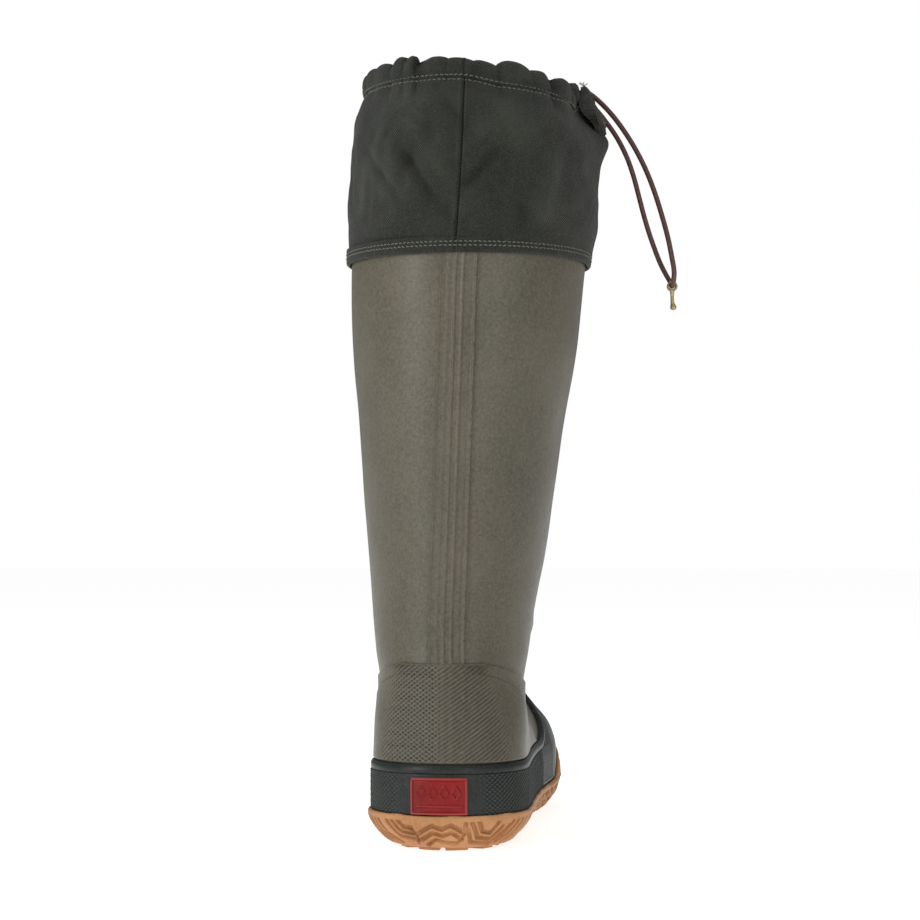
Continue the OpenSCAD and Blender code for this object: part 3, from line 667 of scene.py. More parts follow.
def make_foxing():
    """Band round the foot above the sole, with fine diamonds away from the back line."""
    end = lambda z: float(place(z, PANEL_BACK - 0.4))
    grid = patch(SOLE_H - 0.4, FOXING_Z + 0.6, lambda z: -end(z), end, 0.5, 0.5)
    z, _, s, _ = grid
    away = smooth((np.abs(s) - 19) / 8)
    pitch = 1.9
    diamonds = ribs(s, z, pitch, math.radians(52)) * ribs(s, z, pitch, math.radians(128))
    # painted shade between the diamonds and a painted highlight on their tops
    plate("foxing", grid, FOXING_T, away * (diamonds - 0.25), "green", relief_shading=away * (0.35 - diamonds))


def make_side_panels():
    """Chequered panels on both sides of the foot, each with a plain border."""
    def edge(z):
        return float(place(z, PANEL_BACK if z < FOXING_Z else float(curve(PANEL_EDGE, z))))

    ahead_of = lambda z: float(place(z, CAP_BACK - 0.7))
    for name, low, high in (("side_panel_outer", edge, ahead_of),
                            ("side_panel_inner", lambda z: -ahead_of(z), lambda z: -edge(z))):
        grid = patch(SOLE_H - 0.4, 60, low, high, 0.6, 0.6)
        z, _, s, d = grid
        pitch = 1.5
        fine = ribs(s, z, pitch, math.radians(45)) * ribs(s, z, pitch, math.radians(135))
        border = smooth((d - 2.0) / 0.8)
        relief = border * (fine - 0.35) * 0.45 - 0.35 * border
        plate(name, grid, FOXING_T, relief, "panel")


def make_toe_cap():
    """Cap over the toes, with a raised seam across its back."""
    back = lambda z: float(place(z, CAP_BACK))
    grid = patch(SOLE_H - 0.4, 84.6, back, lambda z: 6 - back(z), 1.2, 1.4)
    seam = 0.5 * ridge(face(grid[0], grid[1])[..., 1], CAP_BACK + 7, 1.2)
    plate("toe_cap", grid, FOXING_T, seam, "panel")


def make_trim():
    """Smooth strip on top of the foxing, then over the instep; a thin ridge runs along it."""
    half = [(TRIM_Z, i * 0.11) for i in range(10)]
    half += [(TRIM_Z, float(place(TRIM_Z, y))) for y in range(15, 100, 14)]
    half += [(z, float(place(z, y))) for z, y in TRIM_RISE]
    path = [(TRIM_TOP, -3.0)] + [(z, -u) for z, u in half[:0:-1]] + half + [(TRIM_TOP, 3.0)]
    dense = np.linspace(0, len(path) - 1, 641)[:-1]
    z, u = (column(path, k, dense) for k in (0, 1))
    mid, out = face(z, u), outward(z, u)
    up = unit(np.cross(out, np.roll(mid, -1, axis=0) - np.roll(mid, 1, axis=0)))
    w = TRIM_W / 2 + 0.15
    # the section, from its lower edge: distance along the face and off it
    shape = [(-w, -0.1), (-w, 1.7), (-w + 0.35, 2.6), (-w + 1, 2.9), (-0.4, 3.0), (w - 1.3, 2.9),
             (w - 0.9, 2.45), (w - 0.5, 2.4), (w - 0.1, 1.9), (w, 1.2), (w, -0.1)]
    rings = [mid + across * up + off * out for across, off in shape]
    obj = band("trim_strip", rings, "green", crease=50)
    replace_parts(obj, "trim_strip")


def make_label():
    """Red rubber patch with a raised border, four lozenges and a bar, and no lettering."""
    lift = 2 * GAP + FOXING_T + LABEL_T
    reach = lambda z: math.asin(LABEL_W / 2 / (float(curve(REAR_W, z)) + lift)) / (math.pi / 2)
    grid = patch(LABEL_Z, LABEL_Z + LABEL_H, lambda z: -reach(z), reach, 0.3, 0.3, 0.6)
    z, u, s, d = grid
    border = 1 - smooth((d - 1.2) / 0.35)
    cloth = ribs(s, z, 0.9, 0) * ribs(s, z, 0.9, math.pi / 2)
    row = 11.2           # half the length of the row of lozenges
    pitch = row / 2
    beside = (s + row) % pitch - pitch / 2
    lozenge = np.abs(beside) / 2.5 + np.abs(z - LABEL_Z - 11.6) / 4.2
    raised = (ridge(lozenge, 0.85, 0.14) + ridge(z, LABEL_Z + 4.6, 0.55)) * (np.abs(s) < row)
    relief = 0.9 * border + (1 - border) * (0.16 * cloth + 0.9 * raised)
    top = smooth((z - (LABEL_Z + LABEL_H - 2.2)) / 1.6)
    outer = skin(z, u, mix(lift - 1.6, lift, rounded(d, 0.7)) + relief - 0.7 * top)
    # painted shade on the label's flat face, a painted highlight on its raised border, lozenges and bar
    obj = shell("heel_label", outer, skin(z, u, FOXING_T - 0.6), "red", crease=50,
                groove=0.3 - 0.6 * np.maximum(border, raised))
    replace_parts(obj, "heel_label")


# ---- Outsole ----

# Grooves of the heel, seen from behind: lines through (distance from the back line, height)
HEEL_GROOVES = [
    [(-37, 17), (-33, 9), (-26, 4)], [(-41, 17), (-38, 9), (-31, 4)], [(-46, 17), (-43, 9), (-37, 4)],
    [(-51, 17), (-48, 9), (-42, 4)], [(-56, 17), (-53, 9), (-48, 4)],
    [(-30, 17), (-24, 8), (-15, 6.5)], [(-26.5, 17.5), (-21.5, 11), (-15, 9.8)],
    [(-22.5, 17.5), (-19, 13.8), (-15, 13.2)],
    [(-15, 13.6), (-12.6, 9.6), (-13.6, 5)],
    [(-12.6, 9.6), (-3.5, 15), (1.5, 13), (6, 15.4), (13.5, 10.6)],
    [(-11, 6.2), (-3.4, 11), (1.6, 9.2), (6.4, 11.2), (12.6, 7)],
    [(-8, 3.4), (-2.4, 6.8), (1.8, 5.4), (9.6, 4.4)],
    [(13.5, 16.5), (13.2, 10.6), (10.2, 5)], [(16.4, 16.8), (20.6, 8.2), (29, 6.6), (34, 14)],
    [(20, 17.2), (22.6, 11.6), (27.6, 10.4), (31, 16.4)], [(14.6, 13), (17.6, 5.4), (30, 3.6), (38.4, 14)],
    [(41.8, 16.6), (37, 8.6), (31.6, 3.4)], [(46, 16.8), (41.4, 9), (36, 4)], [(50.4, 17), (46, 9), (41, 4)],
    [(55, 17), (51, 9), (46, 4)],
]


GROOVE_W = 1.45
TREAD_AT = 60            # the drawn grooves end this far from the back line
CHEVRON_W = 19


def groove_depth(s, z, line, width):
    """From 0 to 1, how deep a groove along the line is at distance s and height z."""
    best = np.full(s.shape, 1e9)
    for (s0, z0), (s1, z1) in zip(line, line[1:]):
        length2 = (s1 - s0) ** 2 + (z1 - z0) ** 2
        t = np.clip(((s - s0) * (s1 - s0) + (z - z0) * (z1 - z0)) / length2, 0, 1)
        best = np.minimum(best, (s - s0 - t * (s1 - s0)) ** 2 + (z - z0 - t * (z1 - z0)) ** 2)
    return 1 - smooth((np.sqrt(best) - width * 0.35) / (width * 0.65))


def sole_relief(s, z, top):
    """Depth of the side tread, 0 to 1: drawn grooves at the heel, nested chevrons along the sides."""
    heel = np.zeros(s.shape)
    for line in HEEL_GROOVES:
        heel = np.maximum(heel, groove_depth(s, z, line, GROOVE_W))
    q = (np.abs(s) - TREAD_AT - 2) % CHEVRON_W - CHEVRON_W / 2
    rise = z + 0.75 * np.abs(q)
    nested = [1 - smooth((np.abs(rise - high) - 0.45) / 0.8) for high in (7, 11.5, 16, 21)]
    between = 1 - smooth((np.abs(np.abs(q) - CHEVRON_W / 2) - 0.6) / 0.8)
    chevrons = np.maximum.reduce(nested + [between])
    along = smooth((np.abs(s) - TREAD_AT) / 3)
    low = smooth((top - 2.4 - z) / 1.4) * smooth((z - 0.9) / 1.2)
    return low * mix(heel, chevrons, along)


def tread(x, y):
    """Height of the lugs under the sole, from 0 in a groove to 1 on a lug."""
    v = y + 0.13 * np.abs(x - foot_x(y)) * 2
    pitch = np.where(y < 42, 16.0, 18.0)
    q = np.abs((v + 4) % pitch / pitch - 0.5) * 2
    middle = smooth((np.abs(x - foot_x(y)) - 1.0) / 0.8)
    return smooth((0.62 - q) / 0.12) * middle


STRIP = 4                # points of the sole's edge from one strip of the underside to the next
ACROSS = 96              # points along each strip


def underside(edge, start):
    """Points and faces under the sole, numbered from start: strips from points of the edge to
    their mirrors, with the lugs pressed out."""
    half = len(edge) // 2
    w = np.linspace(0, 1, ACROSS)[:, None]
    grid = []
    for i in range(1, half, STRIP):
        a, b = edge[half - i], edge[half + i]
        line = mix(a, b, w)
        rim = np.minimum(w[:, 0], 1 - w[:, 0]) * np.linalg.norm(b - a)
        inside = smooth((rim - 0.6) / 1.2) * min(1, min(i, half - i) / 6)
        line[:, 2] += inside * mix(LUG_H - 1.9, -1.85, tread(line[:, 0], line[:, 1]))
        grid.append(line)
    faces = quads(len(grid), ACROSS, start)
    # stitch the strips' ends to the edge
    for row in range(len(grid) - 1):
        i = 1 + STRIP * row
        left = start + row * ACROSS
        right = left + ACROSS - 1
        faces.append((left, left + ACROSS, *range(half - i - STRIP, half - i + 1)))
        faces.append((right + ACROSS, right, *range(half + i, half + i + STRIP + 1)))
    last = len(grid) - 1
    toe_loop = [(half + k) % len(edge) for k in range(1 + STRIP * last, len(edge) - STRIP * last)]
    faces.append((*range(start + last * ACROSS, start + (last + 1) * ACROSS), *toe_loop))
    faces.append((*range(start + ACROSS - 1, start - 1, -1), half - 1, half, half + 1))
    return np.concatenate(grid), faces


def make_outsole():
    u = np.linspace(-3, 3, 1441)[:-1]
    base_y = face(SOLE_H, u)[:, 1]
    share = smooth((base_y - 90) / 60)
    lift = spring(base_y)
    top = SOLE_H + (BUMPER_H - SOLE_H) * smooth((base_y - 150) / 70)
    inner = FOXING_T + 2.8 * GAP
    # side of the sole from the ground up, at the heel and ahead: distance off the upper and height
    heel_line = [(-11, 1.9), (-8.5, 2.0), (-5.6, 3.4), (-1.8, 7), (2, 11.5), (4.2, 16.4)]
    ahead_line = [(-9.5, 2.4), (-6.5, 2.7), (-3.2, 3.6), (-0.5, 6), (3.5, 11.5), (5.2, 18.2)]
    rows_off, rows_z = [], []
    for k in np.concatenate([np.linspace(0, 5, 62), np.linspace(5, 6, 14)[1:]]):
        rows_off.append(mix(column(heel_line + [(inner + 1.3,)], 0, k),
                            column(ahead_line + [(inner + 1.5,)], 0, k), share))
        low = mix(column(heel_line, 1, min(k, 5)), column(ahead_line, 1, min(k, 5)), share)
        rows_z.append(mix(low, top - 0.9, max(k - 5, 0)))
    off, z = np.array(rows_off), np.array(rows_z)
    base, out = face(SOLE_H, u), outward(SOLE_H, u)
    s = arc_length(base[None], len(u) // 2)[0]
    s_grid = np.broadcast_to(s, z.shape)
    depth = sole_relief(s_grid, z, top)
    # chunky notches on the bumper's shoulder, at the forefoot
    notch = smooth((share - 0.4) / 0.3) * smooth((z - 15) / 4) * smooth((top - 3 - z) / 3)
    gap = smooth((np.abs((s_grid % 6.5) / 6.5 - 0.5) * 2 - 0.62) / 0.25)
    worn = fractal(np.stack([s_grid, z, 0 * z], -1), 7, 51) * 0.45 * smooth((z - 2) / 3)
    cut = 2.3 * depth + notch * (1.3 * gap - 0.6) + worn
    off = off - cut * mix(0.55, 1, smooth((z - 3) / 6))
    z = z + cut * 0.75 * (1 - smooth((z - 3) / 9))
    # painted shade in the tread grooves and the bumper's notches
    dirt = np.maximum(depth, notch * gap) * 0.2
    level = lambda o, h: np.stack([base[:, 0] + o * out[:, 0], base[:, 1] + o * out[:, 1], h + lift], -1)
    rings = [level(o, h) for o, h in zip(off, z)]
    # rolled top lip with low scallops, then down inside to the ledge
    scallop = 0.45 * np.maximum(0, np.sin(s / 4.6)) ** 2 * (1 - share)
    for o, below in ((1.0, 0.25), (0.5, -scallop * 0.8), (0.05, -scallop * 0.6), (-0.4, 0.3), (-1.5, 3.0)):
        rings.append(level(inner + o, top - below))
    rings += [level(inner - 1.7, SOLE_H - 0.8), level(-1.5, SOLE_H - 0.8)]
    cols, count = len(u), len(rings) * len(u)
    under, under_faces = underside(rings[0], count)
    faces = quads(len(rings), cols, 0, True) + [tuple(range(count - cols, count))] + under_faces
    verts = np.concatenate([*rings, under])
    obj = new_object("outsole_tread", verts, faces, "gum", crease=50, groove=dirt)
    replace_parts(obj, "outsole")


# ---- Inside ----

def reinforced(z, u):
    """From 0 to 1, where the heel counter and the toe puff lie."""
    heel, toe = 1 - smooth((np.abs(u) - 1.2) / 0.2), smooth((np.abs(u) - 1.95) / 0.2)
    return np.maximum(heel * (1 - smooth((z - 84) / 6)), toe * (1 - smooth((z - 74) / 6)))


def sock(name, off_out, off_in, floor_z, floor_t, look, seed, fuzz):
    """Soft layer inside the upper, with a floor and a rounded top edge."""
    rows = np.concatenate([[floor_z], np.arange(floor_z + 8, LINING_TOP - 2, 3.5),
                           [LINING_TOP - 0.8, LINING_TOP]])
    u = RING[::2]

    def level(z, off, edge):
        shift = (REINFORCE_T + GAP) * reinforced(z, u)
        return skin(z, u, off - shift + (edge if z == LINING_TOP else 0))

    outer = [level(z, off_out, -0.5) for z in rows]
    inner = np.array([level(z, off_in, 0.5) for z in [*rows[:0:-1], floor_z + floor_t]])
    soft = fuzz * fractal(inner, 9, seed)
    inner += soft[..., None] * unit(inner - inner.mean(axis=1, keepdims=True))
    return band(name, np.concatenate([outer, inner]), look, closed=False, crease=35)


def make_inside():
    off = -RUBBER_T - GAP
    foam = sock("insulation", off - 0.2, off - FOAM_T, FOOT_FLOOR, 3, "foam", 11, 0.0)
    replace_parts(foam, "insulation")
    off -= FOAM_T + GAP
    fleece = sock("lining", off, off - LINING_T, FOOT_FLOOR + 3 + GAP, LINING_T, "fleece", 12, 0.35)
    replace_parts(fleece, "lining")
    for node, look in (("midsole", "midsole"), ("shank", "steel"), ("insole_board", "board"),
                       ("footbed", "foam"), ("heel_counter", "inner_rubber"),
                       ("toe_puff", "inner_rubber")):
        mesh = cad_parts[node].data
        mesh.materials.clear()
        mesh.materials.append(MATS[look])


# ---- Collar ----

LOBES = 31               # puffs of the gathered rim
FREE_Z = 325             # the wall hangs free above this height
RIM_TUCK = 4.2           # how far the rim is drawn in behind the loose fold

rng = np.random.default_rng(11)
ROUND_U = np.linspace(-3, 3, 1201)
ROUND_S = arc_length(face(400, ROUND_U)[None], 600)[0]
ROUND = ROUND_S[-1] - ROUND_S[0]
LOBE_EDGES = np.concatenate([[0], np.cumsum(rng.uniform(6, 21, LOBES))])
LOBE_EDGES *= ROUND / LOBE_EDGES[-1]
# Each puff's size, how far it leans to one side, and how deep the crease before it is
LOBE_SIZE = rng.uniform(0.5, 1.2, LOBES)
LOBE_SKEW = rng.uniform(0.7, 1.4, LOBES)
CREASE = rng.uniform(0.3, 1.1, LOBES)
# Folds of the wall: place round the collar, height, lean, length, width and height of the fold
FOLDS = [(-20, 357, -0.74, 24, 4, -2.0), (-10, 364, -0.74, 22, 5, 1.5), (28, 384, -0.5, 16, 9, 2.2),
         (13, 360, 0.7, 22, 4.5, -1.7), (46, 350, 0.3, 26, 6, 1.6), (-48, 372, 0.4, 24, 6, 1.5)]
FOLDS += [(rng.uniform(ROUND_S[0], ROUND_S[-1]), rng.uniform(334, 396), rng.uniform(-1, 1),
           rng.uniform(10, 30), rng.uniform(2.5, 6), rng.uniform(-1.3, 1.1)) for _ in range(40)]


def round_steps(count, seam_end):
    """Distances right round the collar: even steps, and finer ones up to seam_end at the seam."""
    return np.union1d(np.linspace(ROUND_S[0], ROUND_S[-1], count)[:-1], np.arange(-1.2, seam_end, 0.25))


def around(u):
    """Distance round the collar from the back line."""
    return np.interp(np.where(u > 3, u - 6, u), ROUND_U, ROUND_S)


def lobes(s):
    """Puffs of the gathered rim: 0 in a crease and up to 1 on a puff, and the puff's size."""
    at = (s - ROUND_S[0]) % ROUND
    i = np.clip(np.searchsorted(LOBE_EDGES, at, side="right") - 1, 0, LOBES - 1)
    f = (at - LOBE_EDGES[i]) / (LOBE_EDGES[i + 1] - LOBE_EDGES[i])
    f = np.clip(f, 0, 1) ** LOBE_SKEW[i]
    deep = np.where(f < 0.5, CREASE[i], CREASE[(i + 1) % LOBES])
    return 1 - deep * np.abs(2 * f - 1) ** 2.4, LOBE_SIZE[i]


# Distance from the back line, and how far the rim sinks there beside the cord's mouth
DROOP = [(-12, 0), (4, 0.6), (22, 4.0), (44, 5.6), (60, 7.2), (76, 9.2), (90, 9.2), (99, 6.8), (107, 4),
         (116, 2.4), (130, 1.5), (160, 0)]


def droop(s):
    return curve(DROOP, s)


def seam_x(z):
    """The canvas seam's distance from the back line."""
    return 1.3 + 1.7 * (z - HEM_Z) / 92


def tuck(y):
    """From 0 to 1, how far the rim is drawn in at distance y along the foot, on the outer side."""
    return smooth((y + 16) / 24) * smooth((MOUTH_Y + 3 - y) / 8)


def folds(z, s):
    """Height of the wall's folds."""
    high = np.zeros(np.broadcast(z, s).shape)
    for s0, z0, lean, long, wide, top in FOLDS:
        ds = (s - s0 + ROUND / 2) % ROUND - ROUND / 2
        across, along = ds - lean * (z - z0), z - z0 + lean * ds
        high = high + top * ridge(across, 0, wide) * ridge(along, 0, long)
    return high * smooth((z - FREE_Z) / 14)


def wall_skin(z, u, inward=0.0):
    """Points of the canvas wall with its puffs, folds, gathers and seam."""
    z, u = np.broadcast_arrays(np.asarray(z, float), np.asarray(u, float))
    s, base = around(u), face(z, u)
    y = base[..., 1]
    free = smooth((z - FREE_Z) / 14)
    off = curve(WALL_OFF, np.minimum(z, WALL_TOP)) + 1.3 * smooth((z - 398) / 9)
    # flatter on the inner side below the rim, and at the hem
    off = off - 1.4 * smooth((20 - s) / 60) * smooth((WALL_TOP - z) / 20)
    off = off - 1.1 * (1 - smooth((z - 322) / 14))
    off = off + free * (1.9 * fractal(base, 40, 21) + 0.5 * fractal(base, 15, 22)) + 1.4 * folds(z, s)
    # puffs below the rim
    puff, size = lobes(s + 0.25 * (WALL_TOP - z) * np.sin(s / 23))
    off = off + smooth((z - 388) / 20) ** 1.5 * (puff * size - 0.6) * 2.2
    # the bulge under the cord's mouth, and the tuck above it
    outer_side = smooth((s - 40) / 30) * smooth((190 - s) / 30)
    off = off + 5.2 * outer_side * ridge(y, 17, 10) * ridge(z, 387, 9)
    off = off - RIM_TUCK * (s > 0) * tuck(y) * ridge(z, 405, 9)
    ds = s - seam_x(z)
    off = off - 1.5 * ridge(ds, 0, 0.5) + 0.5 * ridge(ds, -1.7, 0.9) + 0.25 * ridge(ds, 1.5, 0.7)
    p = base + (off - inward)[..., None] * outward(z, u)
    p[..., 2] -= droop(s) * smooth((z - 340) / 66)
    return p


WALL_T = 1.2


def make_wall():
    """The canvas wall, gathered into puffs and folds below the rim."""
    rows = np.concatenate([[HEM_Z + 4.8, HEM_Z + 5.6], np.arange(HEM_Z + 6.4, WALL_TOP + 2.6, 0.95)])
    s = round_steps(541, 6.5)
    u = np.interp(s, ROUND_S, ROUND_U)
    z = rows[:, None]
    rings = np.concatenate([wall_skin(z, u), wall_skin(z, u, WALL_T)[::-1]])
    # darker along the seam; painted shade between the puffs and in the folds' valleys, painted highlight on
    # the folds' tops and under the mouth
    groove = ridge(s - seam_x(z), 0, 0.55) - 0.3 * folds(z, s)
    groove = groove + 0.8 * (1 - lobes(s)[0]) * smooth((z - 396) / 10)
    groove = groove - 0.3 * ridge(s, 76, 15) * ridge(z, 389, 9)
    obj = band("collar_wall", rings, "canvas", groove=groove)
    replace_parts(obj, "collar_wall")
    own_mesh(obj)
    return obj


def make_hem():
    """Turned lower edge of the canvas, with two rows of stitches."""
    s = round_steps(421, 4)
    u = np.interp(s, ROUND_S, ROUND_U)
    seam = ridge(s, seam_x(HEM_Z + 3), 0.6)
    # the section, from its inner edge: distance off the boot and height over the hem's line
    shape = [(0.15, -0.6), (0.5, -1.6), (1.1, -2.2), (1.8, -2.3), (2.5, -1.8), (2.85, -0.9), (2.9, 0.2),
             (2.7, 1.2), (2.55, 1.6), (2.9, 2.5), (2.6, 3.4), (2.75, 4.2), (3.1, 4.9), (3.0, 5.9), (1.5, 5.9),
             (0.3, 5.2)]
    rings = []
    for off, up in shape:
        soft = fractal(face(HEM_Z + up, u), 12, 31) * 0.22 * smooth((off - 2) / 2)
        rings.append(skin(HEM_Z + up, u, off + soft - 1.1 * seam * smooth(off - 1)))
    obj = band("collar_hem", rings, "canvas", groove=seam)
    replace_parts(obj, "collar_hem")
    pieces = [obj]
    dense = np.interp(np.linspace(ROUND_S[0], ROUND_S[-1], 900), ROUND_S, ROUND_U)
    for name, up, seed in (("hem_stitches_low", 1.5, 1), ("hem_stitches_high", 3.5, 2)):
        z = HEM_Z + up
        pieces.append(stitch_row(name, skin(z, dense, 2.6), outward(z, dense), "boot", seed))
    return pieces


CHANNEL_FROM = float(place(CHANNEL_Z, MOUTH_Y + MOUTH_GAP / 2))
CHANNEL_TO = 6 + float(place(CHANNEL_Z, MOUTH_Y - MOUTH_GAP / 2))
# The channel's section round its tube, clockwise from the outer side: distance off and height
CHANNEL_SHAPE = [(2.9, 0.2), (3.0, -1.8), (2.4, -3.9), (0.6, -4.9), (-2.2, -4.2), (-3.9, -1.6), (-4.0, 1.4),
                 (-2.7, 4.4), (-0.4, 5.6), (1.4, 4.4), (2.5, 2.4)]


def rim_line(u):
    """Middle of the channel's tube at places u, drawn in behind the loose fold, and the way out."""
    mid, out = skin(CHANNEL_Z, u, RIM_OFF), unit(outward(CHANNEL_Z, u) * [1, 1, 0])
    inward = RIM_TUCK * (around(u) > 0) * tuck(mid[..., 1])
    return mid - inward[..., None] * out, out


def channel_skin(u, a, shrink=0.0):
    """Point of the gathered channel at place u and angle a, from 0 to 1 round its tube."""
    u, a = np.broadcast_arrays(np.asarray(u, float), np.asarray(a, float))
    shape = CHANNEL_SHAPE + CHANNEL_SHAPE[:1]
    off, up = (column(shape, k, a * len(CHANNEL_SHAPE)) for k in (0, 1))
    s = around(u)
    puff, size = lobes(s + 0.22 * up * np.sin(s / 17))
    swell = puff * size - 0.55
    free = smooth((up + 4.6) / 4)
    mid, out = rim_line(u)
    off = off * (1 - shrink / 4) + 2.3 * swell * free * np.sign(off) + 0.5 * fractal(mid, 8, 41) * free
    up = up * (1 - shrink / 5.5) + smooth(up / 4) * (4.0 * swell - 0.2 + 0.8 * fractal(mid, 22, 43))
    off = off - 1.0 * ridge(s - seam_x(CHANNEL_Z), 0, 0.7) * np.sign(off) * free
    p = mid + off[..., None] * out
    p[..., 2] += up - droop(s)
    return p


def make_channel():
    u_round = np.where(ROUND_U < CHANNEL_FROM, ROUND_U + 6, ROUND_U)
    order = np.argsort(u_round)
    s_round = np.where(ROUND_U < CHANNEL_FROM, ROUND_S + ROUND, ROUND_S)[order]
    s_from = np.interp(CHANNEL_FROM, u_round[order], s_round)
    s_to = np.interp(CHANNEL_TO, u_round[order], s_round)
    u = np.interp(np.linspace(s_from, s_to, 560), s_round, u_round[order])
    a = np.linspace(0, 1, 37)[:-1]
    s = around(u)
    puff, size = lobes(s)
    # painted shade in the creases between the puffs and a faint painted highlight on the larger puffs; darker
    # along the seam
    fold = np.maximum(1.7 * (1 - puff) ** 1.3 - 0.25 * size, ridge(s - seam_x(CHANNEL_Z), 0, 0.6))
    obj = shell("drawcord_channel", channel_skin(u[:, None], a), channel_skin(u[:, None], a, 0.9),
                "canvas", wrap=True, body="rim", groove=np.repeat(fold, len(a)))
    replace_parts(obj, "drawcord_channel")
    pieces = [obj]
    line = rim_line(u)[0]
    line[:, 2] -= droop(s)
    verts, faces = [], []
    add_tube(verts, faces, line, CORD_D / 2, 12)
    obj = new_object("drawcord_run", verts, faces, "cord", "rim")
    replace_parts(obj, "drawcord_run")
    way = unit(outward(400, u) * [1, 1, 0] + [0, 0, 0.25])
    for name, line, seed in (("rim_stitches_high", channel_skin(u, 2.2 / len(CHANNEL_SHAPE)), 3),
                             ("rim_stitches_low", wall_skin(WALL_TOP - 0.2, u), 4)):
        pieces.append(stitch_row(name, line, way, "rim", seed, pitch=2.7, radius=0.3, wobble=0.35))
    return pieces


# Loose fold beside the mouth: height, distance off the boot's face, its near and far ends along
# the foot, and how far off the face its root lies
TAB_ROWS = [(388, 6.6, 9, 26, 3.0), (391, 7.0, 7, 27.2, 2.5), (394, 6.4, 6, 28, 0.5),
            (397.5, 5.0, 7, 28.4, -3), (401.5, 3.3, 9.5, 28.4, -5.2), (405.5, 1.6, 12.5, 28, -6),
            (409.5, 0, 16, 27.4, -5.2), (413, -1.6, 20, 26.6, -5.2), (415.8, -2.9, 23, 25.2, -5.2)]


def tab_crease(v):
    """The share along the fold where its crease lies at row v."""
    return 0.42 + 0.05 * np.sin(v)


def tab_skin(v, w, root=0.0):
    """Point of the fold at row v and share w along it; root sinks it into the wall behind."""
    v, w = np.broadcast_arrays(np.asarray(v, float), np.asarray(w, float))
    z, off, near, far, deep = (column(TAB_ROWS, k, v) for k in range(5))
    y = mix(near, far, w)
    side = 1 - np.abs(2 * w - 1) ** 2.5
    crease = 1.5 * ridge(w, tab_crease(v), 0.11) * smooth(v / 2)
    off = off + 1.5 * side - crease - 2.2 * smooth((0.2 - w) / 0.2) * (1 - v / (len(TAB_ROWS) - 1))
    off = off + 0.5 * np.sin(v * 1.9 + w * 4) * side
    u = place(z, y)
    p = face(z, u) + mix(off, deep, root)[..., None] * outward(z, u)
    p[..., 2] -= 0.8 * smooth(1 - v) * np.sin(w * 7)
    return p


def make_tab():
    v = np.linspace(0, len(TAB_ROWS) - 1, 56)[:, None]
    w = np.linspace(0, 1, 40)[None]
    # painted shade along the fold's root against the wall and in its crease
    fold = 0.45 * np.maximum(smooth((0.14 - w) / 0.14), ridge(w, tab_crease(v), 0.08))
    obj = shell("rim_tab", tab_skin(v, w), tab_skin(v, w, 1.0), "canvas", body="rim", groove=fold)
    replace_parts(obj, "rim_tab")
    pieces = [obj]
    across = np.linspace(0.12, 0.97, 50)
    for name, row, seed in (("tab_stitches_high", 2.35, 5), ("tab_stitches_low", 1.7, 6)):
        line = tab_skin(row, across)
        way = np.broadcast_to(outward(395, 1), line.shape)
        pieces.append(stitch_row(name, line, way, "rim", seed))
    # threads that have come loose at the fold's tip
    local = random.Random(9)
    verts, faces = [], []
    for _ in range(12):
        at = tab_skin(len(TAB_ROWS) - 1.0, local.uniform(0.05, 0.95), 0.15)
        way = np.array([local.uniform(-0.9, 0.9), local.uniform(-0.9, 0.6), local.uniform(0.4, 1)])
        bend = np.array([local.uniform(-1, 1), local.uniform(-1, 1), -0.2])
        line = [at + way * t * 2.8 + bend * t * t * 1.2 for t in np.linspace(-0.15, 1, 6)]
        add_tube(verts, faces, line, 0.16, 5)
    return pieces + [new_object("frayed_threads", verts, faces, "fray", "rim")]


# ---- Drawcord and its hook ----

ROUTE = [
    (68.6, 28.5, 413.6), (69.8, 30.6, 414), (73.6, 31.8, 413.6), (79.4, 31.4, 408.8), (86.4, 30.8, 401.2),
    (93.4, 30.4, 391.6), (99.8, 30, 381), (105.4, 29.4, 369.5), (110, 28.8, 357.5), (114.2, 28, 344),
    (117.4, 27.2, 332), (119.6, 26.6, 321), (120.8, 26.3, 313.5), (120.4, 27.8, 308.2),
    (119.5, 32, 305.8), (118.6, 36.2, 308.2), (115.6, 37.7, 313.5), (112, 37.4, 321),
    (107.6, 36.6, 333), (104.2, 35.8, 344), (101.2, 35, 355.5), (98.2, 34.4, 367), (94.4, 34, 378),
    (89.2, 33.8, 388.5), (82.8, 33.6, 398), (76.8, 33.2, 405.4), (71.4, 33.4, 410.4), (69.2, 35.2, 413),
]
EYE_AT = np.array([119.5, 32, 305.8])   # the hook's eye, at the lowest turn of the cord


def along(points, n):
    """Points on a smooth line through the route, n to each stretch."""
    p = np.array(points, float)
    out = []
    for i in range(len(p) - 1):
        a, b, c, d = p[max(i - 1, 0)], p[i], p[i + 1], p[min(i + 2, len(p) - 1)]
        for t in np.arange(n) / n:
            out.append(b + (c - a) * t / 2 + (2 * a - 5 * b + 4 * c - d) * t * t / 2
                       + (3 * b - a - 3 * c + d) * t**3 / 2)
    return np.array(out + [p[-1]])


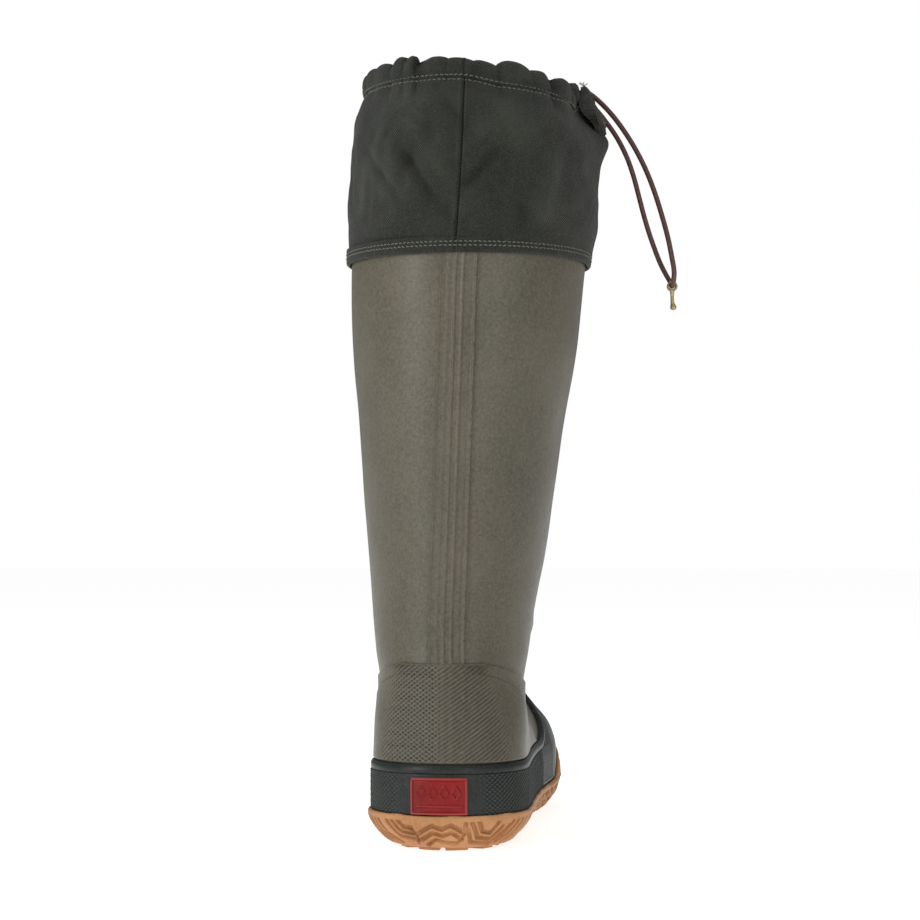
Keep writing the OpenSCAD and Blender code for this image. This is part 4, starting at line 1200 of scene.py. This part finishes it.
def make_hook():
    """Cast brass hook: an eye round the cord, a shank and a foot turned a little forward."""
    ring_r, section = 2.3, 0.72
    a = np.linspace(0, 2 * math.pi, 41)[:-1]
    b = np.linspace(0, 2 * math.pi, 17)[:-1][:, None]
    r = ring_r + section * np.cos(b)
    eye = np.stack([r * np.cos(a), np.broadcast_to(0.95 * np.sin(b), (len(b), len(a))), r * np.sin(a)], -1)
    verts, faces = list((eye + EYE_AT).reshape(-1, 3)), loop_faces(len(b), len(a))
    low = EYE_AT - [0, 0, ring_r]
    drops = [0.0, 0.6, 1.4, 3.0, 5.0, 7.0, 8.2, 9.0, 9.7, 10.3, 10.7, 10.9]
    turned = [0, 0, 0, 0, 0.05, 0.2, 0.45, 0.6, 0.65, 0.65, 0.65, 0.65]
    radii = [1.35, 1.3, 1.15, 1.0, 1.0, 1.1, 1.45, 1.75, 1.8, 1.5, 0.95, 0.2]
    line = [low + [x, 0, -d] for d, x in zip(drops, turned)]
    add_tube(verts, faces, line, radii, 20)
    obj = new_object("brass_hook", verts, faces, "brass", "hook")
    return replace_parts(obj, "cord_hook")


def make_cord():
    hook = make_hook()
    points = along(ROUTE, 6) * MM
    data = bpy.data.curves.new("drawcord", "CURVE")
    data.dimensions = "3D"
    data.bevel_depth = CORD_D / 2 * MM
    data.bevel_resolution = 4
    data.use_fill_caps = True
    spline = data.splines.new("POLY")
    spline.points.add(len(points) - 1)
    for point, at in zip(spline.points, points):
        point.co = (*at, 1)
    spline.use_smooth = True
    data.materials.append(MATS["cord"])
    obj = add_object("drawcord", data)
    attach(obj, "cord_loop")
    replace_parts(obj, "drawcord_loop")


# ---- Stage ----

def make_stage():
    mesh = bpy.data.meshes.new("floor")
    far = 12
    mesh.from_pydata([(-far, -far, 0), (far, -far, 0), (far, far, 0), (-far, far, 0)], [], [(0, 1, 2, 3)])
    mesh.materials.append(Nodes("floor").done(lit(240, 240, 239), 0.9, specular_ior_level=0.1,
                                              emission_color=(1, 1, 1, 1), emission_strength=0.72))
    floor = add_object("floor", mesh)
    world = bpy.data.worlds.new("studio")
    bpy.context.scene.world = world
    world.use_nodes = True
    tree = world.node_tree
    back = tree.nodes["Background"]
    back.inputs["Color"].default_value = (1, 1, 1, 1)
    # the backdrop is white, and lights the boot at a lower level
    path = tree.nodes.new("ShaderNodeLightPath")
    level = tree.nodes.new("ShaderNodeMapRange")
    level.inputs["To Min"].default_value = 0.3
    level.inputs["To Max"].default_value = 1.0
    tree.links.new(path.outputs["Is Camera Ray"], level.inputs["Value"])
    tree.links.new(level.outputs["Result"], back.inputs["Strength"])
    for name, at, power, wide, tall in (("key", (-1.25, -1.25, 0.85), 19, 0.4, 1.5),
                                        ("fill", (1.0, -1.35, 0.75), 7, 0.35, 1.4),
                                        ("top", (-0.2, -0.2, 1.9), 5, 1.0, 1.0)):
        light = bpy.data.lights.new(name, "AREA")
        light.shape = "RECTANGLE"
        light.energy = power
        light.size = wide
        light.size_y = tall
        obj = add_object(name, light)
        obj.location = at
        obj.rotation_euler = (Vector((0, 0, 0.22)) - Vector(at)).to_track_quat("-Z", "Y").to_euler()
    bpy.context.scene.view_settings.view_transform = "Standard"


make_cord()
make_upper()
make_stay()
make_overlay()
make_foxing()
make_side_panels()
make_toe_cap()
make_trim()
make_label()
make_outsole()
make_inside()
canvas_wall = make_wall()
make_hem() + make_channel() + make_tab()
make_stage()
